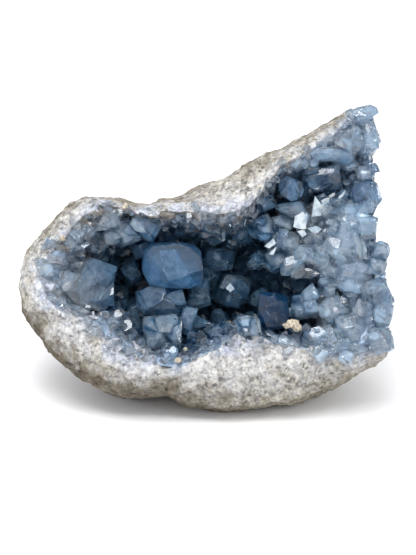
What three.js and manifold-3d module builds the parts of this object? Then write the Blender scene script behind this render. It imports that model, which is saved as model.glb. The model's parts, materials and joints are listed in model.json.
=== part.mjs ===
// A celestite cluster: one broken half of a geode, standing on its underside.
// A thick shell of pale limestone matrix has a deep hollow, and a crust of blue celestite lines it:
// blocky crystals with flat faces, grown together, that spill over the broken edge on the right.
// Millimetres, +Z up, the hollow opens towards -Y, and the origin is the middle of the base.
import * as THREE from "three";
import { ConvexGeometry } from "three/addons/geometries/ConvexGeometry.js";
import { ImprovedNoise } from "three/addons/math/ImprovedNoise.js";
import { mergeVertices } from "three/addons/utils/BufferGeometryUtils.js";
import Module from "manifold-3d";

const wasm = await Module();
wasm.setup();

const { degToRad, lerp, smoothstep } = THREE.MathUtils;

// Driving dimensions. The geode is drawn in the frame of its open face: u to the right, v up the face, and
// w out of the hollow. The face then leans back, so that the shell's underside meets the table.
const LEAN = degToRad(25);
const HUB = new THREE.Vector2(12, -7); // every outline runs round this point of the face
const BACK_DEPTH = 94; // from the open face to the back of the shell
const HOLLOW_DEPTH = 50; // from the open face to the crust at the bottom of the hollow
const CRUST = 6; // thickness of the massive celestite under the crystals
const GAP = 0.35; // clearance between the crust and the matrix
const BASE_DROP = 76.5; // from the face's middle down to the flat that the geode stands on
const FACE_MIDDLE = new THREE.Vector3(0.65, -35.19, BASE_DROP);

// The outline of the matrix where it is widest, clockwise from the tip at the top right.
const MATRIX_OUTLINE = [
  [78.1, 92.2], [72.9, 90.2], [61, 81.6], [40.8, 71], [27.4, 65], [11.3, 54.9], [-4.9, 48.2], [-14.3, 43.5],
  [-26.3, 41.5], [-39.7, 39.7], [-45.1, 40.8], [-50.5, 44.2], [-59.9, 44.8], [-68, 43.5], [-76, 38.1],
  [-85.4, 27.4], [-93.5, 19.3], [-98.9, 12.6], [-100.6, 5.9], [-100, -6.2], [-99.5, -15.6], [-96.2, -23.7],
  [-86.8, -37.1], [-78.7, -46.5], [-69.3, -53.2], [-57.2, -60.6], [-46.4, -64.3], [-35.7, -65.7],
  [-27.6, -63.3], [-21, -64], [-12.9, -68.3], [-2.2, -70], [9.9, -71.1], [34.1, -68.3], [47.5, -67.3],
  [58.3, -63.3], [71.7, -57.2], [81.2, -51.9], [91.9, -44.6], [97, -38], [96, -28], [91, -16], [89, 0],
  [87, 15], [85, 30], [85, 45], [85, 60], [84, 72], [81, 84],
];

// Where the matrix band ends and the hollow begins.
const HOLLOW_OUTLINE = [
  [72, 80], [69.7, 76.1], [59.6, 67.7], [44.9, 62.3], [35.4, 55.6], [28.7, 44.8], [20.7, 35.4], [9.9, 31.4],
  [-4.8, 32.8], [-18.3, 34.1], [-31.7, 34], [-43.8, 35], [-54.5, 38.5], [-65.3, 32.1], [-74, 21],
  [-83, 11.6], [-86, 3.2], [-85.5, -7.9], [-77.4, -16.9], [-60, -20.6], [-54.2, -30.7], [-45.1, -38.4],
  [-31.7, -42.5], [-15.6, -45.5], [-0.8, -38.4], [11.3, -31.4], [27.4, -31.7], [40.8, -33.5], [55.6, -37.5],
  [71.7, -38.8], [84.5, -36.8], [89, -30], [84, -15], [82, 0], [80, 15], [78, 30], [78, 45], [77, 60],
  [75, 71],
];

// How far the crust reaches: to the hollow's edge, and past the broken edge of the shell on the right.
const CRUST_OUTLINE = [
  [82, 88], [71.7, 79], [59.6, 69.4], [44.9, 64], [35.4, 57.2], [28, 46.4], [20.2, 37], [9.9, 33],
  [-4.8, 34.4], [-18.3, 35.7], [-31.7, 35.6], [-43.8, 36.6], [-54.5, 40], [-66.5, 33.4], [-75.3, 22.2],
  [-84.6, 12.4], [-87.6, 3.2], [-87, -8.6], [-78, -18.5], [-61.4, -22], [-55.4, -31.9], [-46, -39.8],
  [-32, -44.1], [-15.6, -47.1], [-1, -40], [11.3, -33], [27.4, -33.3], [40.8, -35.2], [55.6, -39.2],
  [71.7, -40.5], [86, -38.4], [94, -31], [94, -15], [93, 0], [89, 12], [87, 25], [87, 40], [85, 55], [87, 68],
  [88, 80],
];

const noiseSource = new ImprovedNoise();

// Smooth noise of about -1 to 1 whose bumps are `size` millimetres across.
function noise(point, size, seed) {
  return noiseSource.noise(point.x / size + seed, point.y / size - seed, point.z / size + 2 * seed);
}

// A repeatable random number from 0 to 1.
function random(index, salt) {
  const wave = Math.sin(index * 12.9898 + salt * 78.233) * 43758.5453;
  return wave - Math.floor(wave);
}

// A closed outline as a function that gives its distance from the hub in a direction.
function reachOf(outline) {
  const knots = outline.map(([u, v]) => new THREE.Vector3(u - HUB.x, v - HUB.y, 0));
  const polar = new THREE.CatmullRomCurve3(knots, true, "centripetal")
    .getPoints(360)
    .map((p) => ({ angle: Math.atan2(p.y, p.x), reach: Math.hypot(p.x, p.y) }))
    .sort((a, b) => a.angle - b.angle);
  return (angle) => {
    const turned = Math.atan2(Math.sin(angle), Math.cos(angle));
    const next = polar.findIndex((p) => p.angle > turned);
    const after = polar[next < 0 ? 0 : next];
    const before = polar[next <= 0 ? polar.length - 1 : next - 1];
    const span = (after.angle - before.angle + 2 * Math.PI) % (2 * Math.PI);
    const part = (turned - before.angle + 2 * Math.PI) % (2 * Math.PI);
    return lerp(before.reach, after.reach, span > 0 ? part / span : 0);
  };
}

const matrixReach = reachOf(MATRIX_OUTLINE);
const hollowReach = reachOf(HOLLOW_OUTLINE);
const crustReach = reachOf(CRUST_OUTLINE);

// 1 in the directions where the shell is broken away and crystals cover its edge, 0 elsewhere.
function brokenEdge(angle) {
  const turned = Math.atan2(Math.sin(angle), Math.cos(angle));
  return Math.exp(-(((turned - 0.27) / 0.6) ** 4));
}

// The level of the crust's rim, which dips at the broken edge and comes forward at the bottom.
function rimLevel(angle) {
  return 1 - 3 * Math.sin(angle) - 14 * brokenEdge(angle);
}

// The surface that the crystals grow from: a deep bowl on the left, and a bank of crystals on the right.
function crustLevel(u, v) {
  const angle = Math.atan2(v - HUB.y, u - HUB.x);
  const share = Math.hypot(u - HUB.x, v - HUB.y) / crustReach(angle);
  const bank = 32 * Math.exp(-(((u - 76) / 34) ** 2) - ((v - 12) / 46) ** 2);
  const floor = -HOLLOW_DEPTH + bank;
  return lerp(floor, rimLevel(angle), smoothstep(share, 0.55, 1.02));
}

// The back of the shell, part of the nodule's rounded outside.
function backLevel(u, v) {
  const dome = 1 - ((u + 4) / 122) ** 2 - ((v - 8) / 112) ** 2;
  return -BACK_DEPTH * Math.sqrt(Math.max(dome, 0.12));
}

// One closed body from rings of points. The first and last rings close on their own middle points.
function loft(rings) {
  const count = rings[0].length;
  const middle = (ring) => ring.reduce((sum, p) => sum.add(p), new THREE.Vector3()).divideScalar(count);
  const points = [middle(rings[0]), ...rings.flat(), middle(rings.at(-1))];
  const faces = [];
  for (let i = 0; i < count; i++) {
    const j = (i + 1) % count;
    faces.push(0, 1 + i, 1 + j);
    for (let ring = 0; ring + 1 < rings.length; ring++) {
      const here = 1 + ring * count;
      const there = here + count;
      faces.push(here + i, there + i, there + j, here + i, there + j, here + j);
    }
    const last = 1 + (rings.length - 1) * count;
    faces.push(last + i, points.length - 1, last + j);
  }
  const geometry = new THREE.BufferGeometry().setFromPoints(points);
  geometry.setIndex(faces);
  return geometry;
}

// A ring of points around the hub. `place` gives each direction's reach and level, and `spread` and `lift` then
// move the ring outwards and forwards.
function ringOf(count, place, spread = 0, lift = 0) {
  return Array.from({ length: count }, (_, i) => {
    const angle = (2 * Math.PI * i) / count;
    const { reach, level } = place(angle);
    const out = new THREE.Vector3(Math.cos(angle), Math.sin(angle), 0);
    const point = new THREE.Vector3(HUB.x, HUB.y, 0).addScaledVector(out, reach);
    point.z = typeof level === "function" ? level(point.x, point.y) : level;
    point.z += lift;
    return point.addScaledVector(out, spread);
  });
}

// A closed geometry as a solid that can be joined and cut.
function solidOf(geometry) {
  const bare = new THREE.BufferGeometry().setAttribute("position", geometry.getAttribute("position"));
  if (geometry.index) bare.setIndex(geometry.index);
  const merged = mergeVertices(bare, 1e-4);
  return new wasm.Manifold(
    new wasm.Mesh({
      numProp: 3,
      vertProperties: new Float32Array(merged.attributes.position.array),
      triVerts: new Uint32Array(merged.index.array),
    }),
  );
}

function geometryOf(solid) {
  const { vertProperties, triVerts } = solid.getMesh();
  const geometry = new THREE.BufferGeometry();
  geometry.setAttribute("position", new THREE.BufferAttribute(new Float32Array(vertProperties), 3));
  geometry.setIndex(new THREE.BufferAttribute(new Uint32Array(triVerts), 1));
  geometry.computeVertexNormals();
  return geometry;
}

// The matrix: hollow floor, hollow wall, a band rounded over to the outline, and the nodule's outside.
// `swell` moves every face outwards by at least that much, which gives the body that cuts the crust clear of it.
const MATRIX_DIRECTIONS = 64;

function matrixGeometry(swell) {
  const crestLevel = (angle) => rimLevel(angle) + 2 - 12 * brokenEdge(angle);
  const edgeLevel = (angle) => rimLevel(angle) - 17 + 5 * brokenEdge(angle);
  const hollowRing = (share) => {
    const place = (angle) => ({
      reach: share * hollowReach(angle),
      level: (u, v) => crustLevel(u, v) - CRUST - 6 * brokenEdge(angle) * share,
    });
    return ringOf(MATRIX_DIRECTIONS, place, -swell, swell);
  };
  const bandRing = (share) => {
    const place = (angle) => ({
      reach: lerp(hollowReach(angle), matrixReach(angle), share),
      level: lerp(crestLevel(angle), edgeLevel(angle), share ** 2.6),
    });
    return ringOf(MATRIX_DIRECTIONS, place, lerp(-swell, swell, share), swell);
  };
  const backRing = (share) => {
    const place = (angle) => ({
      reach: share * matrixReach(angle),
      level: (u, v) => lerp(edgeLevel(angle), backLevel(u, v), Math.sqrt(1 - share ** 7)),
    });
    return ringOf(MATRIX_DIRECTIONS, place, swell, -swell);
  };
  const rings = [
    ...[0.35, 0.65, 0.92].map(hollowRing),
    ...[0.07, 0.35, 0.64, 0.88].map(bandRing),
    ...[0.98, 0.9, 0.75, 0.54, 0.28].map(backRing),
  ];
  // Lumps of the rough outside. They are larger at the back and fade out towards the face.
  const heart = new THREE.Vector3(0, 0, -40);
  for (const point of rings.slice(3).flat()) {
    const amount = lerp(1.2, 5, smoothstep(-point.z, 16, 60));
    const out = point.clone().sub(heart).normalize();
    point.addScaledVector(out, amount * noise(point, 34, 3.7) + 0.5 * amount * noise(point, 15, 8.1));
  }
  return loft(rings);
}

// The massive layer of celestite that lines the hollow and carries the crystals.
const LINING_DIRECTIONS = 32;

function liningGeometry() {
  const front = [0.2, 0.42, 0.64, 0.84, 1].map((share) =>
    ringOf(LINING_DIRECTIONS, (angle) => ({
      reach: share * crustReach(angle),
      level: (u, v) => crustLevel(u, v) + (share < 1 ? 1.6 * noise(new THREE.Vector3(u, v, 0), 9, 5.3) : 0),
    })),
  );
  const back = [0.97, 0.5].map((share) =>
    ringOf(LINING_DIRECTIONS, (angle) => ({
      reach: share * crustReach(angle),
      level: (u, v) => crustLevel(u, v) - CRUST - 5,
    })),
  );
  return loft([...front, ...back]);
}

// Crystal forms. `shoulder` is the prism's outline and `tip` the outline of its end face, both as shares of the
// crystal's half width and half height. `slope` is the height of the end faces, as a share of the half height.
const FORMS = {
  // a squared block with a large flat end
  block: {
    shoulder: [[-1, -0.5], [-0.5, -1], [1, -0.92], [0.94, 1], [-1, 0.94]],
    tip: [[-0.6, -0.62], [0.68, -0.66], [0.62, 0.6], [-0.68, 0.66]],
    slope: 0.4,
  },
  // a prism that ends in a ridge, like a chisel
  chisel: {
    shoulder: [[-1, -1], [1, -1], [1, 1], [-1, 1]],
    tip: [[-0.72, 0.05], [0.66, -0.05]],
    slope: 0.95,
  },
  // a prism cut off aslant
  wedge: {
    shoulder: [[-1, -0.8], [1, -1], [0.8, 0.9], [-0.7, 1]],
    tip: [[-0.8, 0.3], [0.68, 0.42], [-0.1, 0.8]],
    slope: 1.1,
  },
  // a short pyramid
  point: {
    shoulder: [[-1, -0.7], [0.8, -1], [1, 0.7], [-0.7, 1]],
    tip: [[-0.14, -0.05], [0.16, 0.06]],
    slope: 1.25,
  },
  // a gem with a broad flat face and many corners, such as the large one in the middle
  gem: {
    shoulder: [[-0.97, -0.2], [-0.6, -0.82], [0.62, -1], [1, -0.5], [1, 0.5], [0.74, 1], [-0.62, 0.96], [-0.97, 0.42]],
    tip: [[-0.84, -0.24], [-0.5, -0.64], [0.5, -0.8], [0.86, -0.4], [0.84, 0.4], [0.4, 0.76], [-0.6, 0.66]],
    slope: 0.28,
  },
};

// The crystals that can be told apart, each as [u, v, w of its end, half width, half height, yaw, pitch, twist,
// form]. Yaw turns its end to the right and pitch turns it up, in degrees from straight out of the hollow.
const LEFT_WALL = [
  [-61.5, -3, -7, 17, 14, -14, 6, -14, "block"],
  [-47.5, 21, -6, 10.5, 8.5, 4, -30, 24, "wedge"],
  [-55.5, 30.5, -3, 9.5, 8.5, -8, -26, 8, "block"],
  [-33, 28, -5, 9, 8, 16, -30, -32, "wedge"],
  [-63.5, 22.5, -8, 6.5, 6, 10, -30, -20, "chisel"],
  [-86.5, 5, 0, 7, 6, 24, 0, -8, "block"],
  [-81.5, -6, -1, 7, 6, 20, 6, 10, "block"],
  [-72.5, 16.5, -3, 7, 6, 24, -28, 14, "wedge"],
  [-81.5, 14.5, -1, 5.5, 6, 24, -18, -30, "chisel"],
  [-62, 11, -18, 10, 7, 4, -10, 8, "chisel"],
  [-76, 7.5, -10, 7, 5, 20, -6, -20, "chisel"],
  [-70, -17, -3, 9, 4.5, 4, 30, -14, "wedge"],
  [-41.5, 14.5, -20, 6.5, 5.5, -10, -14, 10, "wedge"],
  [-42, 4.5, -25, 6, 7, -14, 0, 30, "chisel"],
  [-43.5, -13, -36, 7, 7, 10, 6, 18, "point"],
  [-41.5, -20, -26, 8, 10, 8, 12, 10, "wedge"],
  [-51, -22.5, -19, 6, 7, 20, 14, 0, "chisel"],
  [-57.5, -27, -4, 6.5, 5, 18, 30, -12, "block"],
  [-48, -36, -2, 7, 5.5, 10, 34, 16, "wedge"],
  [-39, -33, -14, 5.5, 5.5, 6, 20, -30, "point"],
];
const MIDDLE = [
  [-19.6, 6, -5, 17.2, 13.8, -3, 3, -3, "gem"],
  [-35.5, 16.5, -13, 6.5, 5.5, -10, -6, 24, "point"],
  [-25, -11, -11, 13.4, 9, 2, -8, 8, "block"],
  [-27, -27, -7, 8, 10, 6, 12, 2, "block"],
  [-16.5, -27, -9, 6.5, 8, -4, 14, -6, "gem"],
  [-21, -39, -2, 8, 6.5, 0, 30, 8, "block"],
  [-5.5, -33, -6, 7.5, 7, -6, 22, -14, "wedge"],
  [-33, -39.5, -1, 6, 5, 8, 32, 20, "point"],
  [-4, -25, -17, 7, 5.5, 4, 10, -30, "chisel"],
  [7, -27.5, -9, 7, 6, -8, 16, 8, "wedge"],
  [5.5, 9, -24, 9, 6.5, -6, -8, -8, "chisel"],
  [15.5, 21.5, -19, 7, 8, 0, -20, 6, "chisel"],
  [0, 28, -8, 9, 6.5, -4, -30, 4, "block"],
  [11, 31, -5, 6.5, 5, 6, -34, -16, "wedge"],
  [-21.5, 27.5, -7, 7, 7, 4, -28, 16, "wedge"],
  [-11.5, 23.5, -16, 6.5, 5.5, 4, -24, 12, "chisel"],
  [3, 19, -20, 6, 5.5, -4, -16, 30, "wedge"],
  [15.5, -7.5, -22, 12, 10, 8, 4, -14, "wedge"],
  [-6, -11, -22, 7.5, 8, -4, 4, 6, "block"],
  [-1, -0.5, -29, 7.5, 6.5, 6, -6, -24, "wedge"],
  [24.5, 7, -22, 6, 6, -12, -12, 34, "chisel"],
  [12.5, 14.5, -28, 6.5, 5.5, 8, -10, -10, "point"],
  [28.5, 24, -12, 8, 8, -10, -14, 20, "wedge"],
  [26, -13, -34, 7, 8, -12, 2, 4, "block"],
  [3, -18, -24, 5.5, 5, 0, 14, 40, "point"],
];
const RIGHT_BANK = [
  [43.5, 46, -5, 6.6, 6.6, 8, -16, -20, "gem"],
  [41.5, 36.2, -10, 8.2, 5.2, -6, -6, 6, "wedge"],
  [33, 39, -8, 5.5, 5, 6, -30, 24, "wedge"],
  [63, 52.5, -8, 12, 8, 0, -36, 10, "block"],
  [54.5, 55.5, -5, 7, 6, -4, -36, -12, "wedge"],
  [53, 43.5, -20, 6, 8, -6, -10, 10, "chisel"],
  [75.4, 32.5, -4, 7.6, 7.4, -4, 8, 10, "block"],
  [84.6, 44.4, -8, 7, 8.2, 14, 0, 6, "gem"],
  [68.3, 17.2, -4, 7.6, 7, -8, 4, -22, "block"],
  [62, 27.5, -9, 5.5, 5, -4, 8, 30, "wedge"],
  [41.2, 21.3, -9, 6.6, 6, -12, 2, -8, "block"],
  [55, 18, -8, 5.6, 5.6, -6, 6, 26, "wedge"],
  [39, 11.6, -12, 6.6, 5.6, -16, -6, 16, "chisel"],
  [50, 13, -9, 7, 6, -12, -4, 8, "wedge"],
  [57.4, 7.4, -7, 7.4, 6.4, -10, -6, -14, "wedge"],
  [42.5, 2.8, -13, 5.6, 6.4, -16, -24, 14, "block"],
  [49, -1.5, -13, 5.6, 5, -12, -30, 30, "wedge"],
  [79, 8.8, -6, 5.4, 5, 6, 6, -24, "point"],
  [76, -2.4, -4, 9.6, 7, 2, 0, -10, "block"],
  [61.5, -4.6, -6, 7.4, 6.8, -8, 0, -18, "wedge"],
  [35, -18.1, -4, 8.6, 10.2, -4, 4, -3, "block"],
  [50.4, -17.6, -6, 9, 8.8, 4, 6, 12, "wedge"],
  [65.6, -14.4, -4, 8.2, 7.2, -4, 4, 24, "block"],
  [75, -13.6, -5, 5.4, 5.4, 0, 4, -30, "wedge"],
  [81.6, -19.4, -5, 5.2, 6.8, 4, 6, -16, "chisel"],
  [75.2, -26.4, 1, 7.8, 8.4, 0, 14, 16, "block"],
  [65.2, -29.4, 0, 6.2, 6, -4, 22, 24, "wedge"],
  [55.4, -30.6, 0, 7, 6, 4, 22, -14, "chisel"],
  [20.8, -25.8, -1, 6.4, 5.4, -6, 22, 6, "gem"],
  [41.4, -34, 0, 5.6, 6, 0, 28, 30, "point"],
  [89, -31.4, -2, 8, 7.4, 12, 14, 8, "block"],
  [92.4, -20, -8, 5, 7, 30, 4, -10, "wedge"],
];
const WING = [
  [83.4, 88.6, -4, 8.6, 5, 10, 40, 14, "gem"],
  [88, 76.4, -8, 5.2, 10.6, 16, 6, 16, "block"],
  [83.4, 74.4, -6, 7.4, 6.4, 18, -8, 50, "chisel"],
  [74.6, 76.6, 0, 7.4, 7, -4, 16, 30, "wedge"],
  [71.4, 69.6, -1, 6.4, 5.2, 0, -10, -20, "wedge"],
  [79.5, 66.5, -3, 7.5, 5.5, 10, -14, 40, "chisel"],
  [87, 66, -9, 6, 6, 28, -4, 14, "wedge"],
  [69.6, 61.8, -2, 8, 5, 4, -26, -14, "wedge"],
  [76.5, 58.8, -5, 5.6, 5, 6, -20, 30, "point"],
  [83, 55.8, -8, 7.4, 6, 14, -16, 10, "block"],
];

const ROOT_DEPTH = 1.5; // how deep a crystal is rooted in the lining
const LONGEST_CRYSTAL = 46;

// The direction that a crystal's end points in, from its yaw and pitch in degrees.
function aimOf(yaw, pitch) {
  const [y, p] = [degToRad(yaw), degToRad(pitch)];
  return new THREE.Vector3(Math.sin(y) * Math.cos(p), Math.sin(p), Math.cos(y) * Math.cos(p));
}

// How long a crystal has to be for its root to be set in the lining.
function lengthToRoot(end, aim) {
  let length = 5;
  const root = new THREE.Vector3();
  while (length < LONGEST_CRYSTAL) {
    root.copy(end).addScaledVector(aim, -length);
    if (root.z < crustLevel(root.x, root.y) - ROOT_DEPTH) break;
    length += 1;
  }
  return length;
}

// One crystal: the hull of its root, its shoulder and its end face. It narrows towards the root, and the shoulder
// and the end are cut a little aslant, differently for each seed.
const ROOT_SCALE = 0.6;

function crystalSolid(seed, end, halfWidth, halfHeight, aim, twist, form) {
  const { shoulder, tip, slope } = FORMS[form];
  const length = lengthToRoot(end, aim);
  const half = Math.min(halfWidth, halfHeight);
  const drop = Math.min(slope * half, 0.7 * length);
  const [skewX, skewY] = [random(seed, 31) - 0.5, random(seed, 32) - 0.5];
  const at = (outline, skew, level) =>
    outline.map(([x, y]) => {
      const z = level + skew * half * (skewX * x + skewY * y);
      const scale = lerp(1, ROOT_SCALE, -z / length);
      return new THREE.Vector3(x * halfWidth * scale, y * halfHeight * scale, z);
    });
  const points = [...at(tip, 0.5, 0), ...at(shoulder, 0.7, -drop), ...at(shoulder, 0, -length)];
  const turn = new THREE.Quaternion().setFromUnitVectors(new THREE.Vector3(0, 0, 1), aim);
  turn.multiply(new THREE.Quaternion().setFromAxisAngle(new THREE.Vector3(0, 0, 1), twist));
  points.forEach((p) => p.applyQuaternion(turn).add(end));
  return solidOf(new ConvexGeometry(points));
}

// Small crystals in a fringe along the hollow's edge. They lean in over it.
const FRINGE_COUNT = 28;

function fringeCrystal(i) {
  const angle = (2 * Math.PI * (i + 0.6 * random(i, 1))) / FRINGE_COUNT;
  const reach = crustReach(angle) * lerp(0.88, 0.97, random(i, 2));
  const u = HUB.x + reach * Math.cos(angle);
  const v = HUB.y + reach * Math.sin(angle);
  const half = lerp(3.6, 6, random(i, 3));
  const end = new THREE.Vector3(u, v, crustLevel(u, v) + lerp(3, 6, random(i, 4)));
  const lean = lerp(5, 26, random(i, 5));
  const aim = aimOf(-lean * Math.cos(angle), -lean * Math.sin(angle));
  const form = ["wedge", "point", "chisel"][Math.floor(3 * random(i, 6))];
  return crystalSolid(i + 200, end, half, half * lerp(0.7, 1, random(i, 7)), aim, 6.28 * random(i, 8), form);
}

// The crust as one solid: lining, large crystals and fringe, cut clear of the matrix.
function crustSolid() {
  const named = [...LEFT_WALL, ...MIDDLE, ...RIGHT_BANK, ...WING].map(
    ([u, v, w, halfWidth, halfHeight, yaw, pitch, twist, form], i) => {
      const end = new THREE.Vector3(u, v, w);
      return crystalSolid(i, end, halfWidth, halfHeight, aimOf(yaw, pitch), degToRad(twist), form);
    },
  );
  const fringe = Array.from({ length: FRINGE_COUNT }, (_, i) => fringeCrystal(i));
  const joined = wasm.Manifold.union([solidOf(liningGeometry()), ...named, ...fringe]);
  const pieces = joined.subtract(solidOf(matrixGeometry(GAP))).decompose();
  return pieces.sort((a, b) => b.volume() - a.volume())[0];
}

// From the frame of the open face to the frame of the part.
const stand = new THREE.Matrix4()
  .makeTranslation(FACE_MIDDLE)
  .multiply(new THREE.Matrix4().makeRotationX(Math.PI / 2 - LEAN));

function stood(solid) {
  return solidOf(geometryOf(solid).applyMatrix4(stand));
}

// Everything below the table's level, which leaves the flat that the geode stands on.
function belowTable() {
  const slab = new THREE.BoxGeometry(400, 400, 100);
  slab.translate(0, 0, -50);
  return solidOf(slab);
}

const limestone = new THREE.MeshStandardMaterial({ color: 0xb9b5aa, roughness: 0.95, metalness: 0 });
const celestite = new THREE.MeshStandardMaterial({ color: 0x6f8aa8, roughness: 0.15, metalness: 0 });

const shell = new THREE.Mesh(geometryOf(stood(solidOf(matrixGeometry(0))).subtract(belowTable())), limestone);
shell.name = "limestone_matrix";
const crust = new THREE.Mesh(geometryOf(stood(crustSolid())), celestite);
crust.name = "celestite_crust";

const cluster = new THREE.Group();
cluster.add(shell, crust);

export default cluster;
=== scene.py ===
import bisect
import json
import math

import bmesh
import bpy
from mathutils import Matrix, Quaternion, Vector, noise
from mathutils.bvhtree import BVHTree

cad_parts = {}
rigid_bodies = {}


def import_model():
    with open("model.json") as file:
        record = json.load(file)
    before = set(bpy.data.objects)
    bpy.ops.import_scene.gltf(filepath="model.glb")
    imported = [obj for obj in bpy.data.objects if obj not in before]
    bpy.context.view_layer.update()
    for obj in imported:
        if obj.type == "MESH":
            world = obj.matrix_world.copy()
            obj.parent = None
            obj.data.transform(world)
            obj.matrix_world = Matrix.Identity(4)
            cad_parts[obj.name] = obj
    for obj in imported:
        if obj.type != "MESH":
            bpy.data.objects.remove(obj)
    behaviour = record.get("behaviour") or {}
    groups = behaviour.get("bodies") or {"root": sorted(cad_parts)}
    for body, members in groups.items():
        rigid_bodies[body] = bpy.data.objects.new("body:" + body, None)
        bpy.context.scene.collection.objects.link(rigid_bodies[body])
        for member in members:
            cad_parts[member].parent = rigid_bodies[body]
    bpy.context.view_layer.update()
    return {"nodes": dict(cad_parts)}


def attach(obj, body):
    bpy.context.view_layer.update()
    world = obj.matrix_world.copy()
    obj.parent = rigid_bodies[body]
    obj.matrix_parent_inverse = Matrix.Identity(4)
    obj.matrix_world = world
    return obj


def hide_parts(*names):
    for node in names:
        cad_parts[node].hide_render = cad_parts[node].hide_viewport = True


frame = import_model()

# Limestone shell.
# The wall of one broken half of a nodule: fine-grained limestone, weathered grey outside and sugary white
# round the hollow, where it is full of small crystals. It broke by a blow, so it is rough and lumpy. It
# stands on its underside, and its open face leans back.

# Every piece is described in the frame of that face, in mm: u to the right, v up the face, and w out of the
# hollow.
MM = 0.001
LEAN = math.radians(25)
FACE_MIDDLE = Vector((0.65, -35.19, 76.5)) * MM
HUB_U, HUB_V = 12, -7  # the outlines run round this point of the face

face_to_frame = (
    Matrix.Translation(FACE_MIDDLE)
    @ Matrix.Rotation(math.pi / 2 - LEAN, 4, "X")
    @ Matrix.Diagonal((MM, MM, MM, 1))
)
frame_to_face = face_to_frame.inverted()

# How far the crust of crystals reaches, clockwise from the tip at the top right.
CRUST_OUTLINE = [
    (82, 88), (71.7, 79), (59.6, 69.4), (44.9, 64), (35.4, 57.2), (28, 46.4), (20.2, 37), (9.9, 33),
    (-4.8, 34.4), (-18.3, 35.7), (-31.7, 35.6), (-43.8, 36.6), (-54.5, 40), (-66.5, 33.4), (-75.3, 22.2),
    (-84.6, 12.4), (-87.6, 3.2), (-87, -8.6), (-78, -18.5), (-61.4, -22), (-55.4, -31.9), (-46, -39.8),
    (-32, -44.1), (-15.6, -47.1), (-1, -40), (11.3, -33), (27.4, -33.3), (40.8, -35.2), (55.6, -39.2),
    (71.7, -40.5), (86, -38.4), (94, -31), (94, -15), (93, 0), (89, 12), (87, 25), (87, 40), (85, 55),
    (87, 68), (88, 80),
]

# How far the rock reaches, clockwise from the tip at the top right.
ROCK_OUTLINE = [
    (78.1, 92.2), (72.9, 90.2), (61, 81.6), (40.8, 71), (27.4, 65), (11.3, 54.9), (-4.9, 48.2), (-14.3, 43.5),
    (-26.3, 41.5), (-39.7, 39.7), (-45.1, 40.8), (-50.5, 44.2), (-59.9, 44.8), (-68, 43.5), (-76, 38.1),
    (-85.4, 27.4), (-93.5, 19.3), (-98.9, 12.6), (-100.6, 5.9), (-100, -6.2), (-99.5, -15.6), (-96.2, -23.7),
    (-86.8, -37.1), (-78.7, -46.5), (-69.3, -53.2), (-57.2, -60.6), (-46.4, -64.3), (-35.7, -65.7),
    (-27.6, -63.3), (-21, -64), (-12.9, -68.3), (-2.2, -70), (9.9, -71.1), (34.1, -68.3), (47.5, -67.3),
    (58.3, -63.3), (71.7, -57.2), (81.2, -51.9), (91.9, -44.6), (97, -38), (96, -28), (91, -16), (89, 0),
    (87, 15), (85, 30), (85, 45), (85, 60), (84, 72), (81, 84),
]
SHELL_GRAIN = 1.15  # mm, the mesh is this fine
SAME_PLACE = 1e-6  # metres, corners this near to each other are one
SOFTENING = 0.5
WORN = 8  # rounds of smoothing


def new_piece(name, mesh):
    piece = bpy.data.objects.new(name, mesh)
    bpy.context.scene.collection.objects.link(piece)
    return piece


def mesh_of(name, shape):
    """A mesh made from a bmesh, which is freed."""
    mesh = bpy.data.meshes.new(name)
    shape.to_mesh(mesh)
    shape.free()
    return mesh


def shape_of(mesh):
    """A bmesh with a copy of a mesh."""
    shape = bmesh.new()
    shape.from_mesh(mesh)
    return shape


def plain_mesh(piece):
    """Turns a piece with live modifiers into a plain mesh."""
    evaluated = piece.evaluated_get(bpy.context.evaluated_depsgraph_get())
    mesh = bpy.data.meshes.new_from_object(evaluated)
    piece.modifiers.clear()
    piece.data = mesh


def even_out(piece, grain, rounds):
    """Gives a piece an even mesh, joined where it overlaps itself, and wears its edges round."""
    remesh = piece.modifiers.new("even mesh", "REMESH")
    remesh.mode = "VOXEL"
    remesh.voxel_size = grain * MM
    soften = piece.modifiers.new("worn edges", "SMOOTH")
    soften.factor = SOFTENING
    soften.iterations = rounds
    plain_mesh(piece)


merged = shape_of(frame["nodes"]["limestone_matrix"].data)
bmesh.ops.remove_doubles(merged, verts=merged.verts, dist=SAME_PLACE)
shell = new_piece("limestone_shell", mesh_of("limestone_shell", merged))
even_out(shell, SHELL_GRAIN, WORN)


def lerp(low, high, share):
    return low + (high - low) * share


def smooth(value, low, high):
    """0 below low, 1 above high, and a smooth ramp between them."""
    share = min(max((value - low) / (high - low), 0), 1)
    return share * share * (3 - 2 * share)


def fold(angle):
    """The same direction as an angle from -pi to pi."""
    return math.atan2(math.sin(angle), math.cos(angle))


def round_hub(u, v):
    """The direction and the reach from the hub to a place on the face."""
    return math.atan2(v - HUB_V, u - HUB_U), math.hypot(u - HUB_U, v - HUB_V)


def reach_at(points, angle):
    """How far an outline reaches from the hub in a direction."""
    after = bisect.bisect(points, (fold(angle),)) % len(points)
    low_angle, low_reach = points[after - 1]
    high_angle, high_reach = points[after]
    span = (high_angle - low_angle) % math.tau
    return lerp(low_reach, high_reach, ((fold(angle) - low_angle) % math.tau) / span)


crust_polar = sorted(round_hub(u, v) for u, v in CRUST_OUTLINE)
rock_polar = sorted(round_hub(u, v) for u, v in ROCK_OUTLINE)

BROKEN_MIDDLE = 0.27  # radians, the direction of the broken edge on the right, and how wide it is
BROKEN_SPREAD = 0.6
RIM_LEVEL = 1  # mm
RIM_DIP = 14  # mm, how far the rim dips at the broken edge
RIM_TILT = 3  # mm, how much lower the rim is at the top and higher at the bottom
BAND_DEPTH = 15  # mm, how far the band's outer edge lies behind its crest
NARROWEST_BAND = 8
OUTSIDE_DEPTH = 20  # mm behind the band's edge in which outwards grows by 1


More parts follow.
